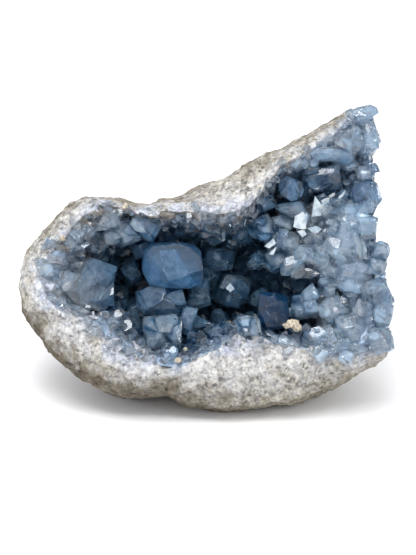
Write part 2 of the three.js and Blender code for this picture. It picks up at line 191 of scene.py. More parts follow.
def broken_edge(angle):
    """1 in the directions where the shell is broken away, and 0 elsewhere."""
    return math.exp(-(((fold(angle) - BROKEN_MIDDLE) / BROKEN_SPREAD) ** 4))


def rim_level(angle):
    """The level of the crust's rim, which dips at the broken edge."""
    return RIM_LEVEL - RIM_TILT * math.sin(angle) - RIM_DIP * broken_edge(angle)


def outwards_of(place):
    """0 beside the crystals, 1 at the band's outer edge, and more behind it."""
    spot = frame_to_face @ place
    angle, reach = round_hub(spot.x, spot.y)
    inner = reach_at(crust_polar, angle)
    band = max(reach_at(rock_polar, angle) - inner, NARROWEST_BAND)
    behind = max(rim_level(angle) - BAND_DEPTH - spot.z, 0) / OUTSIDE_DEPTH
    return max((reach - inner) / band, 0) + behind


# The rock's roughness: how far each kind stands out and how wide it is, in mm.
LUMPS = (1.3, 15), (0.8, 6.5), (0.5, 2.6)
GRAIN_HEIGHT, GRAIN_WIDTH = 0.7, 3.4
PIT_DEPTH, PIT_WIDTH = 1.3, 3.6
LEDGE_HEIGHT, LEDGE_WIDTH = 1.2, 16
LEDGE_PATTERN = 1, 2, 3, 1, 1.8  # roughness, frequency step, octaves, offset and gain
SUNK = 0.5  # mm that the whole of it lies lower


def rough_out(place, outwards, free):
    """How far the rock stands out at a place, in mm."""
    spot = place / MM
    outside = smooth(outwards, 0.7, 1.3)
    lumps = sum(height * noise.noise(spot / width) for height, width in LUMPS)
    grains = GRAIN_HEIGHT * (0.5 - noise.voronoi(spot / GRAIN_WIDTH)[0][0])
    pits = PIT_DEPTH * smooth(noise.noise(spot / PIT_WIDTH), 0.3, 0.6)
    ledges = LEDGE_HEIGHT * (noise.ridged_multi_fractal(spot / LEDGE_WIDTH, *LEDGE_PATTERN) - 1)
    return (lumps + grains + (ledges - pits) * outside - SUNK) * free


places = [v.co.copy() for v in shell.data.vertices]
normals = [v.normal.copy() for v in shell.data.vertices]
crust_copy = shape_of(frame["nodes"]["celestite_crust"].data)
crust_tree = BVHTree.FromBMesh(crust_copy)
crust_copy.free()
from_crystals = [crust_tree.find_nearest(p)[3] / MM for p in places]
outwards = [outwards_of(p) for p in places]

# The worn edges fall short of the outline, so the outside is drawn out to it, as it is seen from in front.
SEEN_FROM = 800  # mm
OUTLINE_STEPS = 120
STEPS_BESIDE = 2  # on each side, they are averaged with a step


def seen_at(spot):
    """The direction and the reach from the hub at which a place in the face's frame is seen."""
    scale = SEEN_FROM / (SEEN_FROM - spot.z)
    return round_hub(spot.x * scale, spot.y * scale)


widest = [0] * OUTLINE_STEPS
for place in places:
    angle, reach = seen_at(frame_to_face @ place)
    step = int(angle % math.tau / math.tau * OUTLINE_STEPS) % OUTLINE_STEPS
    widest[step] = max(widest[step], reach)
short_by = []
for step, reach in enumerate(widest):
    short_by.append(reach_at(rock_polar, math.tau * (step + 0.5) / OUTLINE_STEPS) / reach - 1)


def drawn_out(angle, reach):
    """How far a place has to go out from the hub, in mm."""
    middle = angle % math.tau / math.tau * OUTLINE_STEPS
    beside = range(-STEPS_BESIDE, STEPS_BESIDE + 1)
    share = sum(short_by[int(middle + k) % OUTLINE_STEPS] for k in beside) / len(beside)
    return max(share, 0) * reach


FLAT_UP_TO = 0.3  # mm, the underside is flat up to this height, and fully rough from the next
ROUGH_FROM = 4
CREEP = 4.5  # mm, how far the sugary rock creeps over the crystals' feet in places
CREEP_WIDTH = 5.5
CREEP_RISE = 0.4  # how much of that goes out of the hollow

for vertex, place, normal, out, far in zip(shell.data.vertices, places, normals, outwards, from_crystals):
    angle, reach = seen_at(frame_to_face @ place)
    free = smooth(place.z / MM, FLAT_UP_TO, ROUGH_FROM)
    draw = drawn_out(angle, reach) * smooth(out, 0.1, 1)
    creep = CREEP * smooth(-far, -6, -1) * smooth(noise.noise(place / MM / CREEP_WIDTH), -0.05, 0.4)
    away = Vector((math.cos(angle), math.sin(angle), 0)) * (draw - creep) + Vector((0, 0, CREEP_RISE * creep))
    pull = face_to_frame.to_3x3() @ away
    pull.z *= free
    vertex.co = place + pull + normal * rough_out(place, out, free) * MM
    vertex.co.z = max(vertex.co.z, min(place.z, FLAT_UP_TO * MM))

# Its underside is darkened brownish with painted shade, more so on the left, and dust lies on top.
UNDERSIDE_SHADE_RIGHT, UNDERSIDE_SHADE_LEFT = 0.1, 1.4
DUST = 0.35

dust_and_underside_shade = []
for place, normal in zip(places, normals):
    on_left = smooth(-(frame_to_face @ place).x, -50, 40)
    underside_shade = lerp(UNDERSIDE_SHADE_RIGHT, UNDERSIDE_SHADE_LEFT, on_left) * smooth(-normal.z, -0.2, 0.6)
    dust_and_underside_shade.append(max(underside_shade, DUST * smooth(normal.z, 0.4, 0.9)))


def mark(mesh, name, values):
    """Gives every corner of a mesh a value that its material or its modifier reads by name."""
    mesh.attributes.new(name, "FLOAT", "POINT").data.foreach_set("value", values)


mark(shell.data, "outwards", outwards)
mark(shell.data, "from_crystals", from_crystals)
mark(shell.data, "dust_and_underside_shade", dust_and_underside_shade)
shell.data.shade_flat()


def linear(colour):
    """An sRGB hex value as a linear colour."""
    parts = [(colour >> shift & 255) / 255 for shift in (16, 8, 0)]
    return (*(p / 12.92 if p <= 0.04045 else ((p + 0.055) / 1.055) ** 2.4 for p in parts), 1)


def add(tree, kind, inputs=None, settings=None):
    """A node with its settings and inputs. A node given as an input stands for its first output in use."""
    node = tree.nodes.new(kind)
    for name, value in (settings or {}).items():
        setattr(node, name, value)
    in_use = [socket for socket in node.inputs if socket.enabled]
    for name, value in (inputs or {}).items():
        socket = in_use[name] if isinstance(name, int) else next(s for s in in_use if s.name == name)
        if isinstance(value, bpy.types.Node):
            value = next(output for output in value.outputs if output.enabled)
        if isinstance(value, bpy.types.NodeSocket):
            tree.links.new(value, socket)
        else:
            socket.default_value = value
    return node


def new_material(piece, name):
    """Gives a piece a material: its node tree, and the place on the piece that its patterns follow."""
    material = bpy.data.materials.new(name)
    material.use_nodes = True
    piece.data.materials.append(material)
    tree = material.node_tree
    tree.nodes.clear()
    return tree, add(tree, "ShaderNodeTexCoord").outputs["Object"]


def finish(tree, surface, inside=None):
    """Ends a material with its surface, and with what fills it."""
    ends = {"Surface": add(tree, "ShaderNodeBsdfPrincipled", surface)}
    if inside:
        ends["Volume"] = add(tree, "ShaderNodeVolumeAbsorption", inside)
    add(tree, "ShaderNodeOutputMaterial", ends)


# A mix takes its share and then its two colours. A map range takes a value, the two ends that it lies
# between, and the two that they turn into, which are 0 and 1 if they aren't given.
TINTED = {"data_type": "RGBA"}
STAINED = {"data_type": "RGBA", "blend_type": "MULTIPLY"}
TIMES_PLUS = {"operation": "MULTIPLY_ADD"}

# Broken limestone: the band is a mass of white calcite grains with bluish ones near the crystals, and the
# outside is weathered grey and beige with dark specks. It is quite matt.
BLOTCH_WIDTH, STAIN_WIDTH, SPECK_WIDTH, GRIT_WIDTH = 3.4, 13, 1.5, 1.6  # mm
DRIFT_WIDTH = 8  # mm, the borders between its tints wander in waves of this width

tree, spot = new_material(shell, "broken limestone")
noises = []
for width, detail, roughness in (
    (DRIFT_WIDTH, 5, 0.7),
    (BLOTCH_WIDTH, 5, 0.75),
    (STAIN_WIDTH, 4, 0.6),
    (GRIT_WIDTH, 6, 0.75),
):
    grain = {"Scale": 1 / MM / width, "Detail": detail, "Roughness": roughness}
    noises.append(add(tree, "ShaderNodeTexNoise", {"Vector": spot, **grain}))
drift = add(tree, "ShaderNodeMapRange", {0: noises[0], 1: 0.3, 2: 0.7, 3: -1, 4: 1})
blotch = add(tree, "ShaderNodeMapRange", {0: noises[1], 1: 0.36, 2: 0.64})
stain = add(tree, "ShaderNodeMapRange", {0: noises[2], 1: 0.5, 2: 0.68, 3: 0, 4: 0.6})
grit = noises[3]

wandering = []
for name, wander in ("from_crystals", 5), ("outwards", 0.3), ("dust_and_underside_shade", 0.3):
    values = add(tree, "ShaderNodeAttribute", None, {"attribute_name": name}).outputs["Fac"]
    wandering.append(add(tree, "ShaderNodeMath", {0: drift, 1: wander, 2: values}, TIMES_PLUS))
inner = add(tree, "ShaderNodeMapRange", {0: wandering[0], 1: 2, 2: 9})
outer = add(tree, "ShaderNodeMapRange", {0: wandering[1], 1: 0.4, 2: 0.95})
# One mask for the painted shade on the underside and the dust on top.
dust_and_shade = add(tree, "ShaderNodeMapRange", {0: wandering[2], 1: 0.1, 2: 1, 3: 0, 4: 0.85})

bluish = add(tree, "ShaderNodeMix", {0: blotch, 1: linear(0x98A2B8), 2: linear(0xDEE3EC)}, TINTED)
sugary = add(tree, "ShaderNodeMix", {0: blotch, 1: linear(0xA8A9AE), 2: linear(0xF2F1ED)}, TINTED)
weathered = add(tree, "ShaderNodeMix", {0: blotch, 1: linear(0x6E685C), 2: linear(0xB9B2A2)}, TINTED)
band = add(tree, "ShaderNodeMix", {0: inner, 1: bluish, 2: sugary}, TINTED)
stained = add(tree, "ShaderNodeMix", {0: stain, 1: band, 2: linear(0xCDC4AE)}, STAINED)
rock = add(tree, "ShaderNodeMix", {0: outer, 1: stained, 2: weathered}, TINTED)
# The painted underside shade and the dust multiply the rock by a brownish grey.
dusted_and_shaded = add(tree, "ShaderNodeMix", {0: dust_and_shade, 1: rock, 2: linear(0x948A79)}, STAINED)

grains = add(tree, "ShaderNodeTexVoronoi", {"Vector": spot, "Scale": 1 / MM / SPECK_WIDTH})
lot = add(tree, "ShaderNodeSeparateColor", {"Color": grains.outputs["Color"]})
dark_grain = add(tree, "ShaderNodeMapRange", {0: lot, 1: 0.78, 2: 0.86})
clumps = add(tree, "ShaderNodeMapRange", {0: drift, 1: -0.6, 2: 0.5, 3: 0.1, 4: 0.65})
specks = add(tree, "ShaderNodeMath", {0: dark_grain, 1: clumps}, {"operation": "MULTIPLY"})
specked = add(tree, "ShaderNodeMix", {0: specks, 1: dusted_and_shaded, 2: linear(0x55585C)}, STAINED)
light = add(tree, "ShaderNodeMapRange", {0: grit, 1: 0.35, 2: 0.6})
grit_tint = add(tree, "ShaderNodeMix", {0: light, 1: linear(0xC6C3BE), 2: linear(0xFFFFFF)}, TINTED)
gritty = add(tree, "ShaderNodeMix", {0: 1.0, 1: specked, 2: grit_tint}, STAINED)
bumped = add(tree, "ShaderNodeBump", {"Strength": 0.9, "Distance": 0.8 * MM, "Height": grit})
finish(tree, {"Base Color": gritty, "Roughness": 0.9, "Normal": bumped})

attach(shell, "root")
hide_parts("limestone_matrix")

# Massive celestite under the crystals.
# A layer of solid celestite lines the hollow, and every crystal grows out of it. It is thick, and deep in the
# hollow it is painted dark blue, as painted shade between the crystals.

HOLLOW_DEPTH = 50  # mm
WALL_FROM, WALL_TO = 0.55, 1.02  # where the bowl's wall rises, as a share of the way out to the rim
BANK_MIDDLE = 76, 12
BANK_SPREAD = 34, 46
BANK_HEIGHT = 32
BANK_FILL = 11  # mm, how thick the mass of grown-together crystals is on the bank
FILL_EDGE = 0.12
LINING = 10  # mm, the layer's thickness
LINING_DIRECTIONS = 120
FRONT_RINGS = 23
FIRST_RING = 0.04  # the innermost ring, as a share of the way out
BACK_RINGS = 0.97, 0.6, 0.3, 0.04
UNEVEN_HEIGHT, UNEVEN_WIDTH = 3, 7  # mm


def place_at(angle, reach):
    """The place on the face in a direction from the hub."""
    return HUB_U + reach * math.cos(angle), HUB_V + reach * math.sin(angle)


def share_at(u, v):
    """The direction of a place from the hub, and how far out it is as a share of the crust's outline."""
    angle, reach = round_hub(u, v)
    return angle, reach / reach_at(crust_polar, angle)


def crust_level(u, v):
    """The surface that the crystals grow from: a deep bowl on the left and a bank on the right."""
    angle, share = share_at(u, v)
    aside, above = (u - BANK_MIDDLE[0]) / BANK_SPREAD[0], (v - BANK_MIDDLE[1]) / BANK_SPREAD[1]
    bank = BANK_HEIGHT * math.exp(-(aside**2) - above**2)
    return lerp(bank - HOLLOW_DEPTH, rim_level(angle), smooth(share, WALL_FROM, WALL_TO))


def bank_fill(u, v):
    """How far the bank's mass of crystals stands out of the bowl. It ends at the dark hole in the middle."""
    over_hole = smooth(v + 0.5 * (u - 52), -4, 10)
    under_hole = smooth(u, 46, 60) * smooth(-v, 4, 14)
    below_ledge = 1 - smooth(v, 34, 44)
    return BANK_FILL * smooth(u, 34, 50) * max(over_hole, under_hole) * below_ledge


def ring_of(share, lift, uneven):
    """A ring of points at a share of the way out to the rim, in the face's frame."""
    ring = []
    for i in range(LINING_DIRECTIONS):
        angle = math.tau * i / LINING_DIRECTIONS
        u, v = place_at(angle, share * reach_at(crust_polar, angle))
        fill = bank_fill(u, v) * smooth(1 - share, 0, FILL_EDGE) if uneven else 0
        level = crust_level(u, v) + fill + lift + uneven * noise.noise(Vector((u, v, 0)) / UNEVEN_WIDTH)
        ring.append(Vector((u, v, level)))
    return ring


shares = [FIRST_RING + (1 - FIRST_RING) * i / FRONT_RINGS for i in range(FRONT_RINGS)]
rings = [ring_of(share, 0, UNEVEN_HEIGHT) for share in shares]
rings += [ring_of(1, 0, 0)] + [ring_of(share, -LINING, 0) for share in BACK_RINGS]
loft = bmesh.new()
lines = [[loft.verts.new(face_to_frame @ p) for p in ring] for ring in rings]
for low, high in zip(lines, lines[1:]):
    for i in range(LINING_DIRECTIONS):
        following = (i + 1) % LINING_DIRECTIONS
        loft.faces.new((low[i], high[i], high[following], low[following]))
loft.faces.new(lines[0])
loft.faces.new(reversed(lines[-1]))
lining = new_piece("massive_celestite", mesh_of("massive_celestite", loft))

out_of_hollow = Vector((0, -math.cos(LEAN), math.sin(LEAN)))
SOFTLY = {"interpolation_type": "SMOOTHSTEP"}


def near_rim(tree, spot, deep, high):
    """0 deep in the hollow and 1 near its rim, from two levels in mm."""
    from_middle = add(tree, "ShaderNodeVectorMath", {0: spot, 1: FACE_MIDDLE}, {"operation": "SUBTRACT"})
    out = add(tree, "ShaderNodeVectorMath", {0: from_middle, 1: out_of_hollow}, {"operation": "DOT_PRODUCT"})
    return add(tree, "ShaderNodeMapRange", {0: out, 1: deep * MM, 2: high * MM}, SOFTLY)


# Massive celestite: solid and a little glossy, cloudy, painted dark blue with shade in the depth, and pale
# near the rim.
CLOUD_WIDTH = 8  # mm

tree, spot = new_material(lining, "massive celestite")
grain = {"Scale": 1 / MM / CLOUD_WIDTH, "Detail": 4, "Roughness": 0.5}
clouds = add(tree, "ShaderNodeTexNoise", {"Vector": spot, **grain})
# Painted shade: the lining turns dark blue deep in the hollow, where little light reaches.
shaded_deep_part = add(tree, "ShaderNodeMix", {0: clouds, 1: linear(0x1F3A58), 2: linear(0x44688C)}, TINTED)
pale_part = add(tree, "ShaderNodeMix", {0: clouds, 1: linear(0x7F97B0), 2: linear(0xB4C6D8)}, TINTED)
at_rim = near_rim(tree, spot, -30, -4)
tint = add(tree, "ShaderNodeMix", {0: at_rim, 1: shaded_deep_part, 2: pale_part}, TINTED)
finish(tree, {"Base Color": tint, "Roughness": 0.35, "IOR": 1.62})
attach(lining, "root")

# Large crystals.
# Blocky, see-through crystals of celestite, each with a prism and a few end faces. They grew outwards from
# the lining and into each other, up to 34 mm across, and their edges are slightly rounded.

# The crystal forms: the prism's outline and the outline of its end, as shares of the half width and half
# height, and the height of the end faces as a share of the smaller of them.
FORMS = {
    "block": {
        "shoulder": [(-1, -0.5), (-0.5, -1), (1, -0.92), (0.94, 1), (-1, 0.94)],
        "tip": [(-0.5, -0.5), (0.56, -0.42), (0.36, 0.5), (-0.5, 0.46)],
        "slope": 0.6,
    },
    "dark block": {
        "shoulder": [(-1, -0.9), (-0.96, -1), (1, -0.92), (0.94, 1), (-1, 0.94)],
        "tip": [(-0.84, -0.8), (0.86, -0.78), (0.82, 0.8), (-0.84, 0.84)],
        "slope": 0.25,
        "tone": -0.3,
        "blueness": 0.3,
    },
    "broad block": {
        "shoulder": [(-1, -0.8), (-0.8, -1), (1, -0.92), (0.94, 1), (-1, 0.7)],
        "tip": [(-0.8, -0.7), (0.72, -0.8), (0.62, 0.7), (0, 0.86), (-0.84, 0.3)],
        "slope": 0.35,
        "tone": 0.4,
        "blueness": 0.2,
    },
    "pale block": {
        "shoulder": [(-1, -0.8), (-0.7, -1), (1, -0.92), (0.94, 0.8), (0.6, 1), (-1, 0.94)],
        "tip": [(-0.6, -0.7), (0.8, -0.6), (0.5, 0.7), (-0.7, 0.6)],
        "slope": 0.45,
        "tone": 1,
        "blueness": 0.3,
    },
    "chisel": {
        "shoulder": [(-1, -1), (1, -1), (1, 1), (-1, 1)],
        "tip": [(-0.72, 0.05), (0.66, -0.05)],
        "slope": 0.95,
    },
    "wedge": {
        "shoulder": [(-1, -0.8), (1, -1), (0.8, 0.9), (-0.7, 1)],
        "tip": [(-0.8, 0.3), (0.68, 0.42), (-0.1, 0.8)],
        "slope": 1.1,
    },
    "point": {
        "shoulder": [(-1, -0.7), (0.8, -1), (1, 0.7), (-0.7, 1)],
        "tip": [(-0.14, -0.05), (0.16, 0.06)],
        "slope": 1.25,
    },
    "gem": {
        "shoulder": [
            (-0.97, -0.2), (-0.6, -0.82), (0.62, -1), (1, -0.5), (1, 0.5), (0.74, 1), (-0.62, 0.96),
            (-0.97, 0.42),
        ],
        "tip": [
            (-0.84, -0.24), (-0.5, -0.64), (0.5, -0.8), (0.86, -0.4), (0.84, 0.4), (0.4, 0.76), (-0.6, 0.66),
        ],
        "slope": 0.28,
        "tone": 0.42,
        "blueness": 1,
        "cuts": [
            ((-0.62, -0.2, 1), 0.34), ((-0.3, -0.12, 1), 0.1), ((0.2, 0.16, 1), 0.12),
            ((0.5, -0.8, 0.9), 0.3),
        ],
    },
}

# Each crystal: u, v, w of its end, half width, half height, yaw, pitch and twist in degrees, and form.
LARGE_CRYSTALS = [
    # the left wall
    (-63.5, -3, -2, 16.5, 14, -5, 6, -14, "broad block"),
    (-47, 21.5, -5, 10, 8, 4, -14, 28, "block"),
    (-54.5, 32, -2, 9.2, 8, -6, -12, 8, "broad block"),
    (-33, 26.5, -4, 8.6, 6.4, 8, -14, -26, "block"),
    (-63.5, 22.5, -8, 6.5, 6, 10, -30, -20, "chisel"),
    (-86.5, 5, 0, 7, 6, 24, 0, -8, "block"),
    (-81.5, -6, -1, 7, 6, 20, 6, 10, "block"),
    (-72.5, 16.5, -3, 7, 6, 24, -28, 14, "wedge"),
    (-81.5, 14.5, -1, 5.5, 6, 24, -18, -30, "chisel"),
    (-62, 11, -18, 10, 7, 4, -10, 8, "chisel"),
    (-76, 7.5, -10, 7, 5, 20, -6, -20, "chisel"),
    (-70, -17, -3, 9, 4.5, 4, 30, -14, "wedge"),
    (-41.5, 14.5, -20, 6.5, 5.5, -10, -14, 10, "wedge"),
    (-42, 4.5, -25, 6, 7, -14, 0, 30, "chisel"),
    (-43.5, -13, -36, 7, 7, 10, 6, 18, "point"),
    (-41.5, -20, -26, 8, 10, 8, 12, 10, "wedge"),
    (-51, -22.5, -19, 6, 7, 20, 14, 0, "chisel"),
    (-57.5, -27, -4, 6.5, 5, 18, 30, -12, "block"),
    (-48, -36, -2, 7, 5.5, 10, 34, 16, "wedge"),
    (-39, -33, -14, 5.5, 5.5, 6, 20, -30, "point"),
    # the middle
    (-19.6, 6, -5, 17.2, 13.8, -3, 3, -3, "gem"),
    (-35.5, 16.5, -13, 6.5, 5.5, -10, -6, 24, "point"),
    (-25, -12, -10, 13.4, 10, 2, -4, 8, "broad block"),
    (-24, -29, -3, 10.6, 12, 2, 10, 2, "pale block"),
    (-11.5, -24, -11, 5.5, 8, -4, 14, -16, "block"),
    (-21, -39, -2, 8, 6.5, 0, 30, 8, "block"),
    (-5.5, -33, -6, 7.5, 7, -6, 22, -14, "wedge"),
    (-33, -39.5, -1, 6, 5, 8, 32, 20, "point"),
    (-4, -25, -17, 7, 5.5, 4, 10, -30, "chisel"),
    (7, -27.5, -9, 7, 6, -8, 16, 8, "wedge"),
    (5.5, 9, -24, 9, 6.5, -6, -8, -8, "chisel"),
    (15.5, 21.5, -19, 7, 8, 0, -20, 6, "chisel"),
    (0, 28, -8, 9, 6.5, -4, -30, 4, "block"),
    (11, 31, -5, 6.5, 5, 6, -34, -16, "wedge"),
    (-21.5, 27.5, -7, 7, 7, 4, -28, 16, "wedge"),
    (-11.5, 23.5, -16, 6.5, 5.5, 4, -24, 12, "chisel"),
    (3, 19, -20, 6, 5.5, -4, -16, 30, "wedge"),
    (15.5, -7.5, -22, 12, 10, 8, 4, -14, "wedge"),
    (-6, -11, -22, 7.5, 8, -4, 4, 6, "block"),
    (-1, -0.5, -29, 7.5, 6.5, 6, -6, -24, "wedge"),
    (24.5, 7, -22, 6, 6, -12, -12, 34, "chisel"),
    (12.5, 14.5, -28, 6.5, 5.5, 8, -10, -10, "point"),
    (28.5, 25, -9, 8, 7, -10, -6, 20, "block"),
    (26, -13, -34, 7, 8, -12, 2, 4, "block"),
    (3, -18, -24, 5.5, 5, 0, 14, 40, "point"),
    # the bank on the right
    (43.5, 46, -3.5, 6.6, 6.6, 8, -16, -20, "gem"),
    (41.5, 36.2, -8.5, 8.2, 5.2, -6, -6, 6, "wedge"),
    (40.5, 28.6, -12, 6.6, 5.6, -10, 0, 12, "block"),
    (33, 39, -6.5, 5.5, 5, 6, -30, 24, "wedge"),
    (62, 51.5, -8, 11, 7.6, 0, -20, 10, "broad block"),
    (54.5, 55.5, -3.5, 7, 6, -4, -36, -12, "wedge"),
    (53, 43.5, -18.5, 6, 8, -6, -10, 10, "dark block"),
    (49.5, 30.4, -6.5, 3.9, 5.2, -14, 10, 8, "block"),
    (59, 36, -7.5, 7, 3.2, -8, 24, 40, "chisel"),
    (63, 40, -7.5, 6.5, 2.8, 10, 10, -62, "chisel"),
    (69.7, 43.5, -6.5, 5.5, 3.2, -4, 4, 48, "chisel"),
    (75.4, 32.5, -2.5, 7.6, 7.4, -4, 8, 10, "block"),
    (84.6, 44.4, -6.5, 7.6, 8.6, 14, 0, 6, "gem"),
    (87.5, 33.5, -9.5, 5.2, 6, 18, -6, -34, "wedge"),
    (68.3, 17.2, -0.5, 8, 7.4, -8, 4, -22, "pale block"),
    (76.8, 20.8, -6.5, 4.6, 7, 4, 2, 14, "wedge"),
    (82.2, 17.5, -5.5, 3.6, 9.4, 14, 0, 14, "chisel"),
    (87.5, 24, -10.5, 5, 6.5, 22, 0, 10, "block"),
    (56.5, 24.8, -5.5, 4.2, 3, -8, 16, -20, "block"),
    (62, 27.5, -7.5, 5.5, 5, -4, 8, 30, "wedge"),
    (33.4, 18.6, -11.5, 5, 4.6, -20, 6, 24, "wedge"),
    (41.2, 21.3, -7.5, 6.6, 6, -12, 2, -8, "block"),
    (55, 18, -6.5, 5.6, 5.6, -6, 6, 26, "wedge"),
    (39, 11.6, -10.5, 6.6, 5.6, -16, -6, 16, "chisel"),
    (50, 13, -7.5, 7, 6, -12, -4, 8, "wedge"),
    (57.4, 7.4, -5.5, 7.4, 6.4, -10, -6, -14, "wedge"),
    (42.5, 2.8, -11.5, 5.6, 6.4, -16, -24, 14, "block"),
    (34.5, 5.2, -15.5, 5, 4.6, -22, -22, -20, "point"),
    (49, -1.5, -11.5, 5.6, 5, -12, -30, 30, "wedge"),
    (70.5, 7.2, -3.5, 5.4, 4.8, -4, 6, 20, "wedge"),
    (79, 8.8, -4.5, 5.4, 5, 6, 6, -24, "point"),
    (91.5, 3.4, -7.5, 6.6, 5.4, 20, 4, -8, "wedge"),
    (76, -2.4, -2.5, 9.6, 7, 2, 0, -10, "block"),
    (88, -6.4, -5.5, 7.4, 5.6, 16, 0, 14, "chisel"),
    (61.5, -4.6, -4.5, 7.4, 6.8, -8, 0, -18, "wedge"),
    (54, -9.6, -7.5, 5.2, 4.8, -8, -4, 30, "block"),
    (35, -18.1, -2.5, 8.6, 10.2, -4, 4, -3, "dark block"),
    (50.4, -17.6, -4.5, 9, 8.8, 4, 6, 12, "wedge"),
    (65.6, -14.4, -2.5, 8.2, 7.2, -4, 4, 24, "block"),
    (75, -13.6, -3.5, 5.4, 5.4, 0, 4, -30, "wedge"),
    (81.6, -19.4, -3.5, 5.2, 6.8, 4, 6, -16, "chisel"),
    (75.2, -26.4, 3.5, 7.8, 8.4, 0, 14, 16, "pale block"),
    (65.2, -29.4, 1.5, 6.2, 6, -4, 22, 24, "wedge"),
    (55.4, -30.6, 1.5, 7, 6, 4, 22, -14, "chisel"),
    (20.8, -25.4, 3, 7, 6, -6, 18, 6, "pale block"),
    (7.2, -31, -1.5, 6.6, 4.8, 8, 26, -12, "chisel"),
    (32.8, -31.6, 0.5, 5.6, 5, 0, 24, 10, "wedge"),
    (41.4, -34, 2.5, 6, 6.4, 0, 22, 30, "pale block"),
    (91, -31.4, -0.5, 8.4, 8, 12, 14, 8, "block"),
    (92.6, -19, -6.5, 6, 7.6, 20, 4, -10, "block"),
    (92.6, -7, -9.5, 5.4, 7, 22, 0, 16, "block"),
    (93, 13, -11.5, 5.4, 6.4, 32, 4, -20, "wedge"),
    # the wing at the top right
    (83.4, 88.4, -4, 8.4, 4.4, 10, 24, 14, "gem"),
    (85.6, 82.5, -6, 6.4, 5.4, 10, 10, -20, "wedge"),
    (88.6, 76.4, -8, 6, 11.4, 12, 6, 16, "block"),
    (83.4, 74.4, -6, 7.4, 6.4, 18, -8, 50, "chisel"),
    (74.6, 76.6, 0, 7.4, 7, -4, 16, 30, "wedge"),
    (71.4, 69.6, -1, 6.4, 5.2, 0, -10, -20, "wedge"),
    (79.5, 66.5, -3, 7.5, 5.5, 10, -14, 40, "chisel"),
    (88, 66, -9, 6, 6, 20, -4, 14, "wedge"),
    (69.6, 61.8, -2, 8, 5, 4, -26, -14, "wedge"),
    (76.5, 58.8, -5, 5.6, 5, 6, -20, 30, "point"),
    (84.6, 55.8, -8, 7.6, 6, 14, -16, 10, "block"),
    (60.4, 64.4, 0, 7.4, 4.6, -2, -24, 8, "wedge"),
    (50.2, 58.6, -2, 7.4, 4.4, -4, -32, 12, "chisel"),
]

LONGEST_CRYSTAL = 46  # mm
SHORTEST_CRYSTAL = 5
ROOT_DEPTH = 1.5  # mm, how far the root is set in the lining
ROOT_SCALE = 0.6  # how wide the root is, as a share of the end
LONGEST_SLOPE = 0.7  # the end faces take up no more than this share of the length
TIP_SKEW, SHOULDER_SKEW = 0.5, 0.7  # how far from level a crystal's tip and shoulder are
UNEVEN = 0.34  # how uneven a crystal's outline is, as a share of its half width
EDGE_ROUND = 0.25  # mm
CORNER_FACES = 5
SHALLOWEST_CORNER = 0.08  # how deep they cut, as a share of the half width
DEEPEST_CORNER = 0.5
GEM_CORNER = 0.2
CORNER_RISE = 0.3, 1.6
FLAT = math.radians(0.5)  # faces that meet at less than this are one
PALEST, DARKEST = 1, 0.25


def random_of(index, salt):
    """A repeatable random number from 0 to 1. The salt tells one use of it from the others."""
    wave = math.sin(index * 12.9898 + salt * 78.233) * 43758.5453
    return wave - math.floor(wave)


def aim_of(yaw, pitch):
    """The direction that a crystal's end points in, from its yaw and pitch in degrees."""
    yaw, pitch = math.radians(yaw), math.radians(pitch)
    return Vector((math.sin(yaw) * math.cos(pitch), math.sin(pitch), math.cos(yaw) * math.cos(pitch)))


def length_to_root(end, aim):
    """How long a crystal has to be for its root to be set in the lining."""
    length = SHORTEST_CRYSTAL
    while length < LONGEST_CRYSTAL:
        root = end - aim * length
        if root.z < crust_level(root.x, root.y) - ROOT_DEPTH:
            break
        length += 1
    return length


def hull_of(points):
    """The convex solid round some points."""
    hull = bmesh.new()
    for point in points:
        hull.verts.new(point)
    made = bmesh.ops.convex_hull(hull, input=hull.verts)
    loose = {g for g in made["geom_interior"] + made["geom_unused"] if isinstance(g, bmesh.types.BMVert)}
    bmesh.ops.delete(hull, geom=list(loose), context="VERTS")
    bmesh.ops.dissolve_limit(hull, angle_limit=FLAT, verts=hull.verts, edges=hull.edges)
    return hull


def cut_off(shape, point, facing):
    """Cuts off what lies beyond a plane, and leaves the hull of the rest."""
    parts = shape.verts[:] + shape.edges[:] + shape.faces[:]
    bmesh.ops.bisect_plane(shape, geom=parts, plane_co=point, plane_no=facing, clear_outer=True)
    points = [v.co.copy() for v in shape.verts]
    shape.free()
    return hull_of(points)


